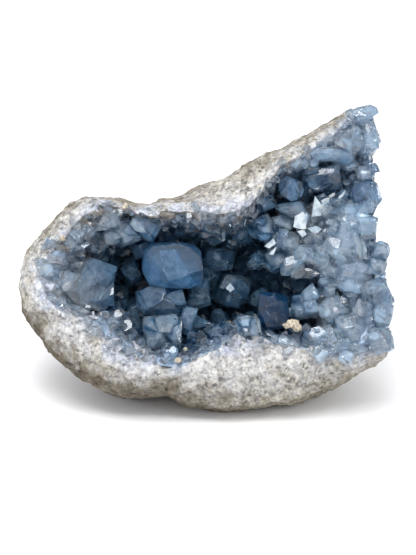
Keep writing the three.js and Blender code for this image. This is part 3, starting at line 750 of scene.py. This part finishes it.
def crystal(name, seed, half_width, half_height, length, form, corners, deepest, edge_round):
    """A crystal with its end at the origin and its root down the Z axis. Small faces cut its corners."""
    shape = FORMS[form]
    half = min(half_width, half_height)
    drop = min(shape["slope"] * half, LONGEST_SLOPE * length)
    skew_x, skew_y = random_of(seed, 31) - 0.5, random_of(seed, 32) - 0.5
    points = []
    for salt, outline, skew, level in (
        (80, shape["tip"], TIP_SKEW, 0),
        (90, shape["shoulder"], SHOULDER_SKEW, -drop),
        (90, shape["shoulder"], 0, -length),
    ):
        for i, (x, y) in enumerate(outline):
            x += UNEVEN * (random_of(seed, salt + i) - 0.5)
            y += UNEVEN * (random_of(seed, salt + 0.5 + i) - 0.5)
            z = level + skew * half * (skew_x * x + skew_y * y)
            scale = lerp(1, ROOT_SCALE, -z / length)
            points.append(Vector((x * half_width * scale, y * half_height * scale, z)))
    hull = hull_of(points)
    cuts = list(shape.get("cuts", ()))
    for corner in range(corners):
        turn = math.tau * random_of(seed, 40 + corner)
        rise = lerp(*CORNER_RISE, random_of(seed, 50 + corner))
        depth = lerp(SHALLOWEST_CORNER, deepest, random_of(seed, 60 + corner))
        cuts.append(((math.cos(turn), math.sin(turn), rise), depth))
    for facing, depth in cuts:
        facing = Vector(facing).normalized()
        furthest = max(facing.dot(v.co) for v in hull.verts)
        hull = cut_off(hull, facing * (furthest - depth * half), facing)
    if edge_round:
        rounding = {"offset": edge_round, "segments": 2, "profile": 0.5, "affect": "EDGES"}
        bmesh.ops.bevel(hull, geom=hull.edges[:], clamp_overlap=True, **rounding)
    bmesh.ops.recalc_face_normals(hull, faces=hull.faces)
    mesh = mesh_of(name, hull)
    tone = shape.get("tone", lerp(DARKEST, PALEST, random_of(seed, 33)))
    blueness = shape.get("blueness", random_of(seed, 34) ** 2)
    mark(mesh, "tone", [tone] * len(mesh.vertices))
    mark(mesh, "blueness", [blueness] * len(mesh.vertices))
    return mesh


def shelf_of(name):
    """A collection that the crystals wait in until they are joined."""
    shelf = bpy.data.collections.new(name)
    bpy.context.scene.collection.children.link(shelf)
    return shelf


large_shelf = shelf_of("large crystals")
remembered = []  # of each crystal: its seed, mesh, half width, length, place and form
UNEVEN_LEAN = 44  # degrees
AS_LISTED_OVER = 9  # mm, crystals with a half width over this lean as the table says
STEPPED_FROM = 6  # mm, crystals with a half width from this up have smaller ones grown parallel to them
STEPS = 2
STEP_SIZE = 0.4, 0.7
STEP_LIFT = 0.02, 0.14  # how far a step stands out, as a share of the half width
STEP_SPREAD = 0.9
STEP_TURN = 0.12  # radians
CLEAR_OF_LARGE = 3  # mm, how far the end of a smaller crystal stays behind the end of a large one over it
LEAST_STANDING = 4  # mm, how far a large crystal stands out of the mass at least


def ground_level(u, v):
    return crust_level(u, v) + bank_fill(u, v)


def in_the_way(u, v, w, footprint):
    """Whether a crystal that ends there would hide a large one, within a share of its footprint."""
    for large_u, large_v, large_w, half_width, half_height, *_ in LARGE_CRYSTALS:
        aside = ((u - large_u) / half_width) ** 2 + ((v - large_v) / half_height) ** 2
        if aside < footprint:
            standing = max(large_w, ground_level(large_u, large_v) + LEAST_STANDING)
            if w > standing - CLEAR_OF_LARGE:
                return True
    return False


def grow(seed, end, half_width, half_height, aim, twist, form):
    """Puts one crystal on the shelf, in its place in the frame, and remembers it."""
    length = length_to_root(end, aim)
    deepest = GEM_CORNER if form == "gem" else DEEPEST_CORNER
    mesh = crystal("large", seed, half_width, half_height, length, form, CORNER_FACES, deepest, EDGE_ROUND)
    turn = Vector((0, 0, 1)).rotation_difference(aim) @ Quaternion((0, 0, 1), twist)
    place = face_to_frame @ Matrix.Translation(end) @ turn.to_matrix().to_4x4()
    remembered.append((seed, mesh, min(half_width, half_height), length, place, form))
    placed = mesh.copy()
    placed.transform(place)
    large_shelf.objects.link(bpy.data.objects.new("large", placed))


for i, (u, v, w, half_width, half_height, yaw, pitch, twist, form) in enumerate(LARGE_CRYSTALS):
    stray = 0 if form in ("gem", "pale block") or half_width > AS_LISTED_OVER else UNEVEN_LEAN
    yaw += stray * (random_of(i, 140) - 0.5)
    pitch += stray * (random_of(i, 141) - 0.5)
    end = Vector((u, v, max(w, ground_level(u, v) + LEAST_STANDING)))
    aim, turn = aim_of(yaw, pitch), math.radians(twist)
    grow(i, end, half_width, half_height, aim, turn, form)
    if min(half_width, half_height) < STEPPED_FROM or form == "gem":
        continue
    for step in range(STEPS):
        share = lerp(*STEP_SIZE, random_of(i, 110 + step))
        side = math.tau * (random_of(i, 120) + 0.4 * step)
        away = Vector((half_width * math.cos(side), half_height * math.sin(side), 0))
        away = away * (1 - share) * STEP_SPREAD
        away += aim * half_width * lerp(*STEP_LIFT, random_of(i, 130 + step))
        place = end + away
        seed = i + 60 * step + 400
        grow(seed, place, half_width * share, half_height * share, aim, turn + STEP_TURN * step, form)

# Medium crystals fill the places between them, spread evenly over the crust.
MEDIUM_COUNT = 240
MEDIUM_HALF = 3.4, 5.8  # mm, and how much larger they are on the bank
MEDIUM_ON_BANK = 1.25
MEDIUM_FLATNESS = 0.75  # the least half height, as a share of the half width
MEDIUM_HEIGHT = 2.5, 5.5
MEDIUM_REACH = 0.03, 0.97
MEDIUM_LEAN = 5, 26  # degrees inwards, and how far they stray from that
MEDIUM_STRAY = 30
GOLDEN_ANGLE = 2.39996
FULL_TURN = 6.28
for i in range(MEDIUM_COUNT):
    spread = math.sqrt((i + 0.5) / MEDIUM_COUNT)
    angle = fold(i * GOLDEN_ANGLE + 0.3 * random_of(i, 1))
    u, v = place_at(angle, reach_at(crust_polar, angle) * lerp(*MEDIUM_REACH, spread))
    half = lerp(*MEDIUM_HALF, random_of(i, 3)) * lerp(1, MEDIUM_ON_BANK, bank_fill(u, v) / BANK_FILL)
    end = Vector((u, v, ground_level(u, v) + lerp(*MEDIUM_HEIGHT, random_of(i, 4))))
    lean = lerp(*MEDIUM_LEAN, random_of(i, 5)) * spread
    stray_yaw, stray_pitch = MEDIUM_STRAY * (random_of(i, 9) - 0.5), MEDIUM_STRAY * (random_of(i, 10) - 0.5)
    aim = aim_of(stray_yaw - lean * math.cos(angle), stray_pitch - lean * math.sin(angle))
    form = ("wedge", "point", "chisel", "wedge")[int(4 * random_of(i, 6))]
    if not in_the_way(*end, 0.8):
        flatness = lerp(MEDIUM_FLATNESS, 1, random_of(i, 7))
        grow(i + 600, end, half, half * flatness, aim, FULL_TURN * random_of(i, 8), form)

# Small crystals fill every place between the large ones. They are of a few shapes, some pale and some dark.
SMALL_SHAPES = 14
SMALL_LENGTH = 3.6  # as a share of the half width, and how far of it the end stands out
SMALL_STANDING = 2.4
SMALL_HEIGHT = 4  # mm, how far a middling one stands out
SMALL_CORNERS = 2
small_shelf = shelf_of("small crystals")
for i in range(SMALL_SHAPES):
    form = ("wedge", "point", "chisel", "point")[i % 4]
    flatness = lerp(0.6, 1, random_of(i, 70))
    mesh = crystal("small", i + 300, 1, flatness, SMALL_LENGTH, form, SMALL_CORNERS, DEEPEST_CORNER, 0)
    mesh.transform(Matrix.Translation((0, 0, SMALL_STANDING)))
    small_shelf.objects.link(bpy.data.objects.new("small", mesh))

# The ground that they grow on: where they are thick, and the way they point. At the rim they point inwards,
# and in places outwards, because the shell broke across them there.
FRONT_DEPTH = 3  # mm, how deep under the ground's level its front goes
OUTWARDS = -0.7
AIM_WIDTH = 5  # mm
RIM_LIFT = 0.55
BANK_ROOM, RIM_ROOM = 1.3, 0.4  # how large they grow on the bank and at the rim, against 1 elsewhere

ground = lining.data.copy()
ground_normals = [v.normal.copy() for v in ground.vertices]
growths, aims, rooms = [], [], []
for vertex, normal in zip(ground.vertices, ground_normals):
    spot = frame_to_face @ vertex.co
    angle, share = share_at(spot.x, spot.y)
    in_front = spot.z > crust_level(spot.x, spot.y) - FRONT_DEPTH
    on_flank = not in_front and share > 0.9 and broken_edge(angle) > 0.2
    on_bank = bank_fill(spot.x, spot.y) / BANK_FILL
    hidden = share < 0.8 and in_the_way(spot.x, spot.y, spot.z + SMALL_HEIGHT, 0.4)
    growths.append(1 if (in_front and not hidden) or on_flank else 0)
    inward = 1 if noise.noise(Vector((spot.x, spot.y, 0)) / AIM_WIDTH) > -0.15 else OUTWARDS
    inwards = Vector((-math.cos(angle) * inward, -math.sin(angle) * inward, RIM_LIFT))
    inwards = (face_to_frame.to_3x3() @ inwards / MM).normalized()
    rooms.append(lerp(lerp(1, BANK_ROOM, on_bank), RIM_ROOM, smooth(share, 0.8, 0.98)))
    aims.extend(normal if on_flank else normal.lerp(inwards, smooth(share, 0.7, 0.95)).normalized())
mark(ground, "growth", growths)
mark(ground, "room", rooms)
ground.attributes.new("aim", "FLOAT_VECTOR", "POINT").data.foreach_set("vector", aims)

# The tree strews the small crystals over the ground and joins them with the large ones.
tree = crust_group = bpy.data.node_groups.new("crystal crust", "GeometryNodeTree")
crust_sockets = {}
for name, kind in (
    ("Geometry", "Geometry"),
    ("Least distance", "Float"),
    ("Most per square metre", "Float"),
    ("Smallest", "Float"),
    ("Largest", "Float"),
    ("Lean", "Float"),
    ("Seed", "Int"),
    ("Large crystals", "Collection"),
    ("Small crystals", "Collection"),
    ("Material", "Material"),
):
    made = tree.interface.new_socket(name, in_out="INPUT", socket_type="NodeSocket" + kind)
    crust_sockets[name] = made.identifier
tree.interface.new_socket("Geometry", in_out="OUTPUT", socket_type="NodeSocketGeometry")
given = add(tree, "NodeGroupInput").outputs

ONE_NUMBER = {"data_type": "FLOAT"}
THREE_NUMBERS = {"data_type": "FLOAT_VECTOR"}
growth = add(tree, "GeometryNodeInputNamedAttribute", {"Name": "growth"}, ONE_NUMBER)
room = add(tree, "GeometryNodeInputNamedAttribute", {"Name": "room"}, ONE_NUMBER)
aim = add(tree, "GeometryNodeInputNamedAttribute", {"Name": "aim"}, THREE_NUMBERS)
spread = add(
    tree, "GeometryNodeDistributePointsOnFaces",
    {
        "Mesh": given["Geometry"],
        "Distance Min": given["Least distance"],
        "Density Max": given["Most per square metre"],
        "Density Factor": growth,
        "Seed": given["Seed"],
    },
    {"distribute_method": "POISSON"},
)
least_lean = add(tree, "ShaderNodeMath", {0: given["Lean"], 1: -1}, {"operation": "MULTIPLY"})
lean_from = add(tree, "ShaderNodeCombineXYZ", {"X": least_lean, "Y": least_lean})
lean_to = add(tree, "ShaderNodeCombineXYZ", {"X": given["Lean"], "Y": given["Lean"], "Z": math.tau})
leaning = add(tree, "FunctionNodeRandomValue", {"Min": lean_from, "Max": lean_to, "Seed": 7}, THREE_NUMBERS)
lean_turn = add(tree, "FunctionNodeEulerToRotation", {"Euler": leaning})
aimed = add(tree, "FunctionNodeAlignRotationToVector", {"Vector": aim}, {"axis": "Z"})
turned = add(tree, "FunctionNodeRotateRotation", {0: aimed, 1: lean_turn}, {"rotation_space": "LOCAL"})
chance = add(tree, "FunctionNodeRandomValue", {"Min": 0, "Max": 1, "Seed": 3}, ONE_NUMBER)
rare = add(tree, "ShaderNodeMath", {0: chance, 1: 1.8}, {"operation": "POWER"})
share = add(tree, "ShaderNodeMath", {0: rare, 1: room}, {"operation": "MULTIPLY"})
sizes = {"To Min": given["Smallest"], "To Max": given["Largest"]}
size = add(tree, "ShaderNodeMapRange", {"Value": share, **sizes})
last = SMALL_SHAPES - 1
pick = add(tree, "FunctionNodeRandomValue", {"Min": 0, "Max": last, "Seed": 5}, {"data_type": "INT"})
apart = {"Separate Children": True}
small = add(
    tree, "GeometryNodeCollectionInfo",
    {"Collection": given["Small crystals"], "Reset Children": True, **apart},
)
large = add(tree, "GeometryNodeCollectionInfo", {"Collection": given["Large crystals"], **apart})
chosen = {"Instance": small, "Pick Instance": True, "Instance Index": pick}
grown = add(
    tree, "GeometryNodeInstanceOnPoints", {"Points": spread, "Rotation": turned, "Scale": size, **chosen}
)
joined = add(tree, "GeometryNodeMeshBoolean", {0: large}, {"operation": "UNION", "solver": "MANIFOLD"})
tree.links.new(grown.outputs["Instances"], joined.inputs["Mesh 2"])
real = add(tree, "GeometryNodeRealizeInstances", {"Geometry": joined})
finished = add(tree, "GeometryNodeSetMaterial", {"Geometry": real, "Material": given["Material"]})
add(tree, "NodeGroupOutput", {"Geometry": finished})

# Clear celestite: strontium sulphate, index 1.62, tinted slate blue and a little cloudy. Its faces are smooth
# and shine like glass, and it is paler and milkier towards the rim, where the crystals are full of cracks.
HAZE_WIDTH, RIPPLE_WIDTH = 9, 4  # mm
MIDDLING = 0.45  # the paleness of its middle tint

crystals = new_piece("celestite_crystals", ground)
tree, spot = new_material(crystals, "clear celestite")
tone, blueness, rim = (
    add(tree, "ShaderNodeAttribute", None, {"attribute_name": name}).outputs["Fac"]
    for name in ("tone", "blueness", "rim")
)
grain = {"Scale": 1 / MM / HAZE_WIDTH, "Detail": 5, "Roughness": 0.6, "Distortion": 0.8}
haze = add(tree, "ShaderNodeTexNoise", {"Vector": spot, **grain})
milk = add(tree, "ShaderNodeMath", {0: haze, 1: 0.9, 2: -0.45}, TIMES_PLUS)
paleness = add(tree, "ShaderNodeMath", {0: tone, 1: milk}, {"operation": "ADD", "use_clamp": True})
first_half = add(tree, "ShaderNodeMapRange", {0: paleness, 1: 0, 2: MIDDLING})
second_half = add(tree, "ShaderNodeMapRange", {0: paleness, 1: MIDDLING, 2: 1})
middling = add(tree, "ShaderNodeMix", {0: blueness, 1: linear(0x8AB1D0), 2: linear(0x74A8D6)}, TINTED)
darker = add(tree, "ShaderNodeMix", {0: first_half, 1: linear(0x0F4A72), 2: middling}, TINTED)
body = add(tree, "ShaderNodeMix", {0: second_half, 1: darker, 2: linear(0xDBE8F2)}, TINTED)
high = near_rim(tree, spot, -36, -6)
deep = add(tree, "ShaderNodeMix", {0: high, 1: linear(0x8CBBDA), 2: body}, TINTED)
coloured = add(tree, "ShaderNodeMix", {0: rim, 1: deep, 2: linear(0xE8F1FA)}, TINTED)
grain = {"Scale": 1 / MM / RIPPLE_WIDTH, "Detail": 4, "Roughness": 0.6}
ripples = add(tree, "ShaderNodeTexNoise", {"Vector": spot, **grain})
bumped = add(tree, "ShaderNodeBump", {"Strength": 0.2, "Distance": 0.6 * MM, "Height": ripples})
finish(
    tree,
    {"Base Color": coloured, "Roughness": 0.05, "IOR": 1.62, "Transmission Weight": 0.9, "Normal": bumped},
    {"Color": (0.3, 0.68, 0.82, 1), "Density": 16},
)

modifier = crystals.modifiers.new("crystal crust", "NODES")
modifier.node_group = crust_group
for setting, value in {
    "Least distance": 3.05 * MM,
    "Most per square metre": 160000.0,
    "Smallest": 1.5 * MM,
    "Largest": 4.6 * MM,
    "Lean": 0.6,
    "Seed": 11,
    "Large crystals": large_shelf,
    "Small crystals": small_shelf,
    "Material": crystals.data.materials["clear celestite"],
}.items():
    modifier[crust_sockets[setting]] = value
plain_mesh(crystals)

# Where two crystals touch along one edge only, that edge is drawn together to a point.
mass = shape_of(crystals.data)
bmesh.ops.collapse(mass, edges=[edge for edge in mass.edges if len(edge.link_faces) != 2])
mass.to_mesh(crystals.data)
mass.free()
crystals.data.shade_flat()

# They are palest at the rim, on the wing at the top right and on the bank, less so at the right border.
RIM_ON_BREAK, BANK_AT_BORDER, WING_RIM = 0.15, 0.4, 0.8

rims = []
for vertex in crystals.data.vertices:
    spot = frame_to_face @ vertex.co
    angle, share = share_at(spot.x, spot.y)
    on_left = smooth(-spot.x, 20, 70)
    at_rim = smooth(share, 0.7, lerp(0.98, 0.9, on_left)) * lerp(1, RIM_ON_BREAK, broken_edge(angle))
    on_wing = WING_RIM * smooth(spot.y, 52, 72)
    at_border = smooth(share, 0.86, 0.96) * broken_edge(angle)
    on_bank = bank_fill(spot.x, spot.y) / BANK_FILL * lerp(1, BANK_AT_BORDER, at_border)
    rims.append(max(at_rim, on_wing, on_bank))
mark(crystals.data, "rim", rims)
for shelf in (large_shelf, small_shelf):
    for spare in list(shelf.objects):
        bpy.data.objects.remove(spare)
    bpy.data.collections.remove(shelf)
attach(crystals, "root")
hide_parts("celestite_crust")

# Cloudy roots.
# Behind their clear tips the crystals are milky with bubbles and healed cracks. It is the same mineral, seen
# through the clear part, whitest near the rim and darkened with painted shade deep in the hollow.

CLOUD_GRAIN = 1.2  # mm
CLOUD_WORN = 3  # rounds of smoothing
CLEAR_TIPS = 0.6, 1.5  # how deep the clear tip is, as a share of the crystal's half width
DEEPEST_TIP = 0.6  # the same, as a share of its length
ASLANT = 1.6  # how far the milk's upper face leans
SINK, LEAST_SINK = 1.3, 0.5  # mm, how far the milk lies under the crystal's faces
SINK_WAVES = (1.2, 14), (0.7, 5)  # how far that varies, and over what width


def add_to(pile, shape, place):
    """Puts a solid with the others in a pile, in its place, and frees it."""
    bmesh.ops.transform(shape, matrix=place, verts=shape.verts)
    spare = mesh_of("spare", shape)
    pile.from_mesh(spare)
    bpy.data.meshes.remove(spare)


cloudy = bmesh.new()
for seed, mesh, half, length, place, form in remembered:
    tip = min(half * lerp(*CLEAR_TIPS, random_of(seed, 71)), DEEPEST_TIP * length)
    facing = Vector((ASLANT * (random_of(seed, 72) - 0.5), ASLANT * (random_of(seed, 73) - 0.5), 1))
    add_to(cloudy, cut_off(shape_of(mesh), Vector((0, 0, -tip)), facing), place)
cloudy_roots = new_piece("cloudy_roots", mesh_of("cloudy_roots", cloudy))
even_out(cloudy_roots, CLOUD_GRAIN, CLOUD_WORN)
for vertex, normal in zip(cloudy_roots.data.vertices, [v.normal.copy() for v in cloudy_roots.data.vertices]):
    spot = vertex.co / MM
    sunk = SINK + sum(depth * noise.noise(spot / width) for depth, width in SINK_WAVES)
    vertex.co -= normal * MM * max(sunk, LEAST_SINK)
cloudy_roots.data.shade_smooth()

# Milky celestite: full of bubbles, so matt and clouded. Its index is near 1, as it lies in the clear mass.
MILK_WIDTH = 7  # mm

tree, spot = new_material(cloudy_roots, "milky celestite")
grain = {"Scale": 1 / MM / MILK_WIDTH, "Detail": 5, "Roughness": 0.65, "Distortion": 1.2}
milkiness = add(tree, "ShaderNodeTexNoise", {"Vector": spot, **grain})
cloud = add(tree, "ShaderNodeMapRange", {0: milkiness, 1: 0.35, 2: 0.7})
light_part = add(tree, "ShaderNodeMix", {0: cloud, 1: linear(0x9DBFD8), 2: linear(0xE8F1F6)}, TINTED)
# Painted shade: the milk turns dark slate blue deep in the hollow.
high = near_rim(tree, spot, -40, -2)
milk_with_depth_shade = add(tree, "ShaderNodeMix", {0: high, 1: linear(0x35566F), 2: light_part}, TINTED)
finish(tree, {"Base Color": milk_with_depth_shade, "Roughness": 0.8, "IOR": 1.05})
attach(cloudy_roots, "root")

# Healed cracks.
# Thin layers inside the larger crystals, where they cracked and grew together again. They are full of
# bubbles and look like pale veils.

CRACKED_FROM = 5  # mm, crystals with a half width over this have healed cracks inside
CRACKS = 2
CRACK_OPENING = 0.12  # mm
CRACK_REACH = 0.2, 1  # how far a crack reaches each way, as a share of the half width
CRACK_DEPTH = 0.3, 1.1
CRACK_SLOPE = 0.5, 1.6
INSIDE = 0.93, 0.93, 0.97, 1  # a crack ends at these shares of the way to the crystal's faces
# The large gem's crack crosses it aslant from the upper left. Its middle is given in half heights of the gem.
GEM_CRACK_MIDDLE = 0, -0.08, -0.3
GEM_CRACK_FACING = 0.67, 0.31, 0.67

cracks = bmesh.new()


def put_crack(seed, mesh, half, middle, facing, place):
    """A thin layer that crosses part of one crystal."""
    layer = shape_of(mesh)
    bmesh.ops.transform(layer, matrix=Matrix.Diagonal(INSIDE), verts=layer.verts)
    facing = Vector(facing).normalized()
    one_way = facing.orthogonal().normalized()
    other_way = Quaternion(facing, math.tau * random_of(seed, 170)) @ one_way
    for plane, room in (
        (facing, CRACK_OPENING / 2),
        (-facing, CRACK_OPENING / 2),
        (one_way, half * lerp(*CRACK_REACH, random_of(seed, 171))),
        (other_way, half * lerp(*CRACK_REACH, random_of(seed, 172))),
    ):
        layer = cut_off(layer, middle + plane * room, plane)
        if len(layer.faces) < 4:
            layer.free()
            return
    add_to(cracks, layer, place)


for seed, mesh, half, length, place, form in remembered:
    if half <= CRACKED_FROM:
        continue
    if form == "gem":
        put_crack(seed, mesh, half, Vector(GEM_CRACK_MIDDLE) * half, GEM_CRACK_FACING, place)
        continue
    for crack in range(CRACKS):
        aside = math.tau * random_of(seed, 150 + crack)
        middle = Vector((0, 0, -half * lerp(*CRACK_DEPTH, random_of(seed, 160 + crack))))
        facing = (math.cos(aside), math.sin(aside), lerp(*CRACK_SLOPE, random_of(seed, 155 + crack)))
        put_crack(seed + crack, mesh, half, middle, facing, place)
for _, mesh, *_ in remembered:
    bpy.data.meshes.remove(mesh)
healed_cracks = new_piece("healed_cracks", mesh_of("healed_cracks", cracks))

# A healed crack in celestite: a sheet of bubbles, whitish in patches and half see-through.
BUBBLES_WIDTH = 4  # mm

tree, spot = new_material(healed_cracks, "bubbly healed crack")
grain = {"Scale": 1 / MM / BUBBLES_WIDTH, "Detail": 5, "Roughness": 0.7}
strewn = add(tree, "ShaderNodeTexNoise", {"Vector": spot, **grain})
bubbles = add(tree, "ShaderNodeMapRange", {0: strewn, 1: 0.4, 2: 0.6})
tint = add(tree, "ShaderNodeMix", {0: bubbles, 1: linear(0x9DB9D2), 2: linear(0xFFFFFF)}, TINTED)
finish(tree, {"Base Color": tint, "Roughness": 0.3, "IOR": 1.2, "Transmission Weight": 0.5})
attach(healed_cracks, "root")

# White cleavage faces and painted glints.
# A few crystals on the bank and in the hollow broke along a cleavage, and their flat, frosted faces are pale
# grey. The same pale plates also stand where clear facets glint white, as a painted highlight. They are
# plates of the same mineral, grown in among the others.

BACK_SCALE = 0.7  # how large a plate's back is beside its face
BACK_DEPTH = 1.4  # how deep the back lies, as a share of the half width, and in mm more
BACK_MORE = 2
# Each is its outline, clockwise or not, the level of its face, and how much its two ends differ in level.
GLINT_AND_CLEAVAGE_FACES = [
    ([(45.3, 26.8), (46.1, 32.4), (50.3, 34.9), (52.6, 31.6), (51.7, 25.6), (47.9, 25.9)], -5, 1.5),
    ([(47.3, 24.5), (50.9, 25.6), (52.4, 22.9), (50.1, 21.3)], -5.5, -1),
    ([(52.6, 26.2), (57.4, 27.4), (60.4, 25.6), (56.8, 22.7)], -5, 1),
    ([(56.8, 43.4), (60.4, 38.1), (55, 32.2), (55.4, 34.6)], -6, 2),
    ([(55, 32.2), (59.8, 32.8), (66.9, 42.2), (62.1, 41.1), (58.6, 36.9)], -5.5, -2),
    ([(67, 40.4), (73, 46.6), (71.6, 42.8)], -5, 2),
    ([(78.1, 26.2), (81.3, 21.5), (84.1, 14.4), (84.1, 9.6), (81.3, 10.2), (78.7, 19.1)], -3.5, 2),
    ([(30.1, 16.7), (34.9, 20.9), (36.3, 18.2), (32.7, 15.6)], -10, 1),
    ([(32.5, 12.6), (36.6, 16.7), (34.9, 12)], -9, 2),
    ([(9.6, -5.8), (12, -2.9), (14.3, -6.1), (12, -7.9)], -17, 1),
]

plates = bmesh.new()
for outline, level, slant in GLINT_AND_CLEAVAGE_FACES:
    middle = sum((Vector(p) for p in outline), Vector((0, 0))) / len(outline)
    half = max((Vector(p) - middle).length for p in outline)
    points = []
    for u, v in outline:
        points.append(Vector((u, v, level + slant * (u - middle.x) / half)))
        back = middle + BACK_SCALE * (Vector((u, v)) - middle)
        points.append(Vector((back.x, back.y, level - BACK_DEPTH * half - BACK_MORE)))
    plate = hull_of(points)
    bmesh.ops.recalc_face_normals(plate, faces=plate.faces)
    add_to(plates, plate, face_to_frame)
glint_and_cleavage_plates = new_piece("white_cleavage_faces", mesh_of("white_cleavage_faces", plates))

# Frosted celestite: a broken face with fine steps, pale grey, which shines where it faces the light. Where a
# plate stands for a glint, its pale opaque face is a painted highlight.
FROST_WIDTH = 3  # mm

tree, spot = new_material(glint_and_cleavage_plates, "frosted celestite and painted glint")
grain = {"Scale": 1 / MM / FROST_WIDTH, "Detail": 5, "Roughness": 0.6}
frost = add(tree, "ShaderNodeTexNoise", {"Vector": spot, **grain})
frosting = add(tree, "ShaderNodeMapRange", {0: frost, 1: 0.35, 2: 0.6})
tint = add(tree, "ShaderNodeMix", {0: frosting, 1: linear(0x8196A5), 2: linear(0xBCC5C9)}, TINTED)
finish(tree, {"Base Color": tint, "Roughness": 0.3, "IOR": 1.62})
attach(glint_and_cleavage_plates, "root")

# Limestone crumbs.
# A few crumbs of the beige rock stick to the crystals near the rim, where they were left when the geode was
# opened. They lie wedged between the crystals.

# Each crumb: u, v and w of its middle, and its half width, half height and thickness.
CRUMBS = [
    (44.5, -24.2, -2, 3.2, 2.2, 2.6), (46.8, -26.4, -2, 2.6, 2.4, 2.6), (41.6, -25.6, -2, 1.8, 1.5, 2),
    (-15.6, -43.4, 4, 1.8, 1.3, 1.6), (-43.6, 37.4, 3, 1.6, 1.5, 1.6), (-76.4, 20.6, 3, 1.4, 1.6, 1.6),
    (-12, -37.5, 1, 1.2, 0.9, 1.4),
]
CRUMB_ROUNDS = 3
CRUMB_WAVES = (0.5, 1.6), (0.3, 0.7)  # how uneven they are, as a share of their size, and over how many mm

crumbs = bmesh.new()
for u, v, w, half_width, half_height, thickness in CRUMBS:
    size = Vector((half_width, half_height, thickness))
    place = face_to_frame @ Matrix.LocRotScale(Vector((u, v, w)), None, size)
    made = bmesh.ops.create_icosphere(crumbs, subdivisions=CRUMB_ROUNDS, radius=1, matrix=place)
    for vertex in made["verts"]:
        spot = vertex.co / MM
        uneven = 1 + sum(share * noise.noise(spot / width) for share, width in CRUMB_WAVES)
        vertex.co = place.translation + (vertex.co - place.translation) * uneven
limestone_crumbs = new_piece("limestone_crumbs", mesh_of("limestone_crumbs", crumbs))
limestone_crumbs.data.shade_flat()

# Beige limestone: fine, matt and a little rusty.
RUST_WIDTH = 1.2  # mm

tree, spot = new_material(limestone_crumbs, "beige limestone crumb")
grain = {"Scale": 1 / MM / RUST_WIDTH, "Detail": 4, "Roughness": 0.7}
rusty = add(tree, "ShaderNodeTexNoise", {"Vector": spot, **grain})
rust = add(tree, "ShaderNodeMapRange", {0: rusty, 1: 0.35, 2: 0.65})
tint = add(tree, "ShaderNodeMix", {0: rust, 1: linear(0x80776A), 2: linear(0xD6CCB8)}, TINTED)
finish(tree, {"Base Color": tint, "Roughness": 0.95})
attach(limestone_crumbs, "root")

# The photograph's view.
# A pale floor that runs out of the frame, soft light from above and in front, and a camera that looks
# squarely at the open face.

FLOOR_HALF = 4  # metres
floor = new_piece("floor", bpy.data.meshes.new("floor"))
corners = [(x * FLOOR_HALF, y * FLOOR_HALF, 0) for x, y in ((-1, -1), (1, -1), (1, 1), (-1, 1))]
floor.data.from_pydata(corners, [], [range(4)])
tree, _ = new_material(floor, "white paper")
finish(tree, {"Base Color": linear(0xF4F4F4), "Roughness": 0.9})


def soft_light(name, place, size, watts):
    """A square light, its place from the middle of the face in metres, that shines on that middle."""
    light = bpy.data.lights.new(name, "AREA")
    light.size = size
    light.energy = watts
    lamp = bpy.data.objects.new(name, light)
    bpy.context.scene.collection.objects.link(lamp)
    lamp.location = FACE_MIDDLE + Vector(place)
    lamp.rotation_euler = (-Vector(place)).to_track_quat("-Z", "Y").to_euler()


soft_light("top", (-0.15, -0.35, 1.2), 0.7, 12)
soft_light("left", (-1.2, -0.55, 0.5), 0.4, 3)
soft_light("right", (1.1, -0.5, 0.7), 0.3, 3)
soft_light("glint", (0.35, -0.6, 1.1), 0.05, 0.8)

# The studio is brightest overhead and darker round the sides.
SIDES, OVERHEAD = 0.5, 1.15
BRIGHT_FROM = 0.8  # the height in the sky, as a share of straight up
world = bpy.data.worlds.new("studio")
bpy.context.scene.world = world
world.use_nodes = True
tree = world.node_tree
tree.nodes.clear()
height = add(tree, "ShaderNodeSeparateXYZ", {"Vector": add(tree, "ShaderNodeTexCoord").outputs["Generated"]})
levels = {0: height.outputs["Z"], 1: 0, 2: BRIGHT_FROM, 3: SIDES, 4: OVERHEAD}
overhead = add(tree, "ShaderNodeMapRange", levels, SOFTLY)
sky = add(tree, "ShaderNodeBackground", {"Color": linear(0xFAFBFF), "Strength": overhead})
add(tree, "ShaderNodeOutputWorld", {"Surface": sky})

CAMERA_DISTANCE = 0.8  # metres
FRAME_HEIGHT = 0.2925  # metres of the open face's plane that the tall side of the picture takes in
SENSOR = 36  # mm
camera = bpy.data.objects.new("camera", bpy.data.cameras.new("camera"))
bpy.context.scene.collection.objects.link(camera)
camera.data.sensor_width = SENSOR
camera.data.lens = SENSOR * CAMERA_DISTANCE / FRAME_HEIGHT
away = Matrix.Translation(FACE_MIDDLE + out_of_hollow * CAMERA_DISTANCE)
camera.matrix_world = away @ Matrix.Rotation(math.pi / 2 - LEAN, 4, "X")
bpy.context.scene.camera = camera
bpy.context.scene.view_settings.view_transform = "Standard"
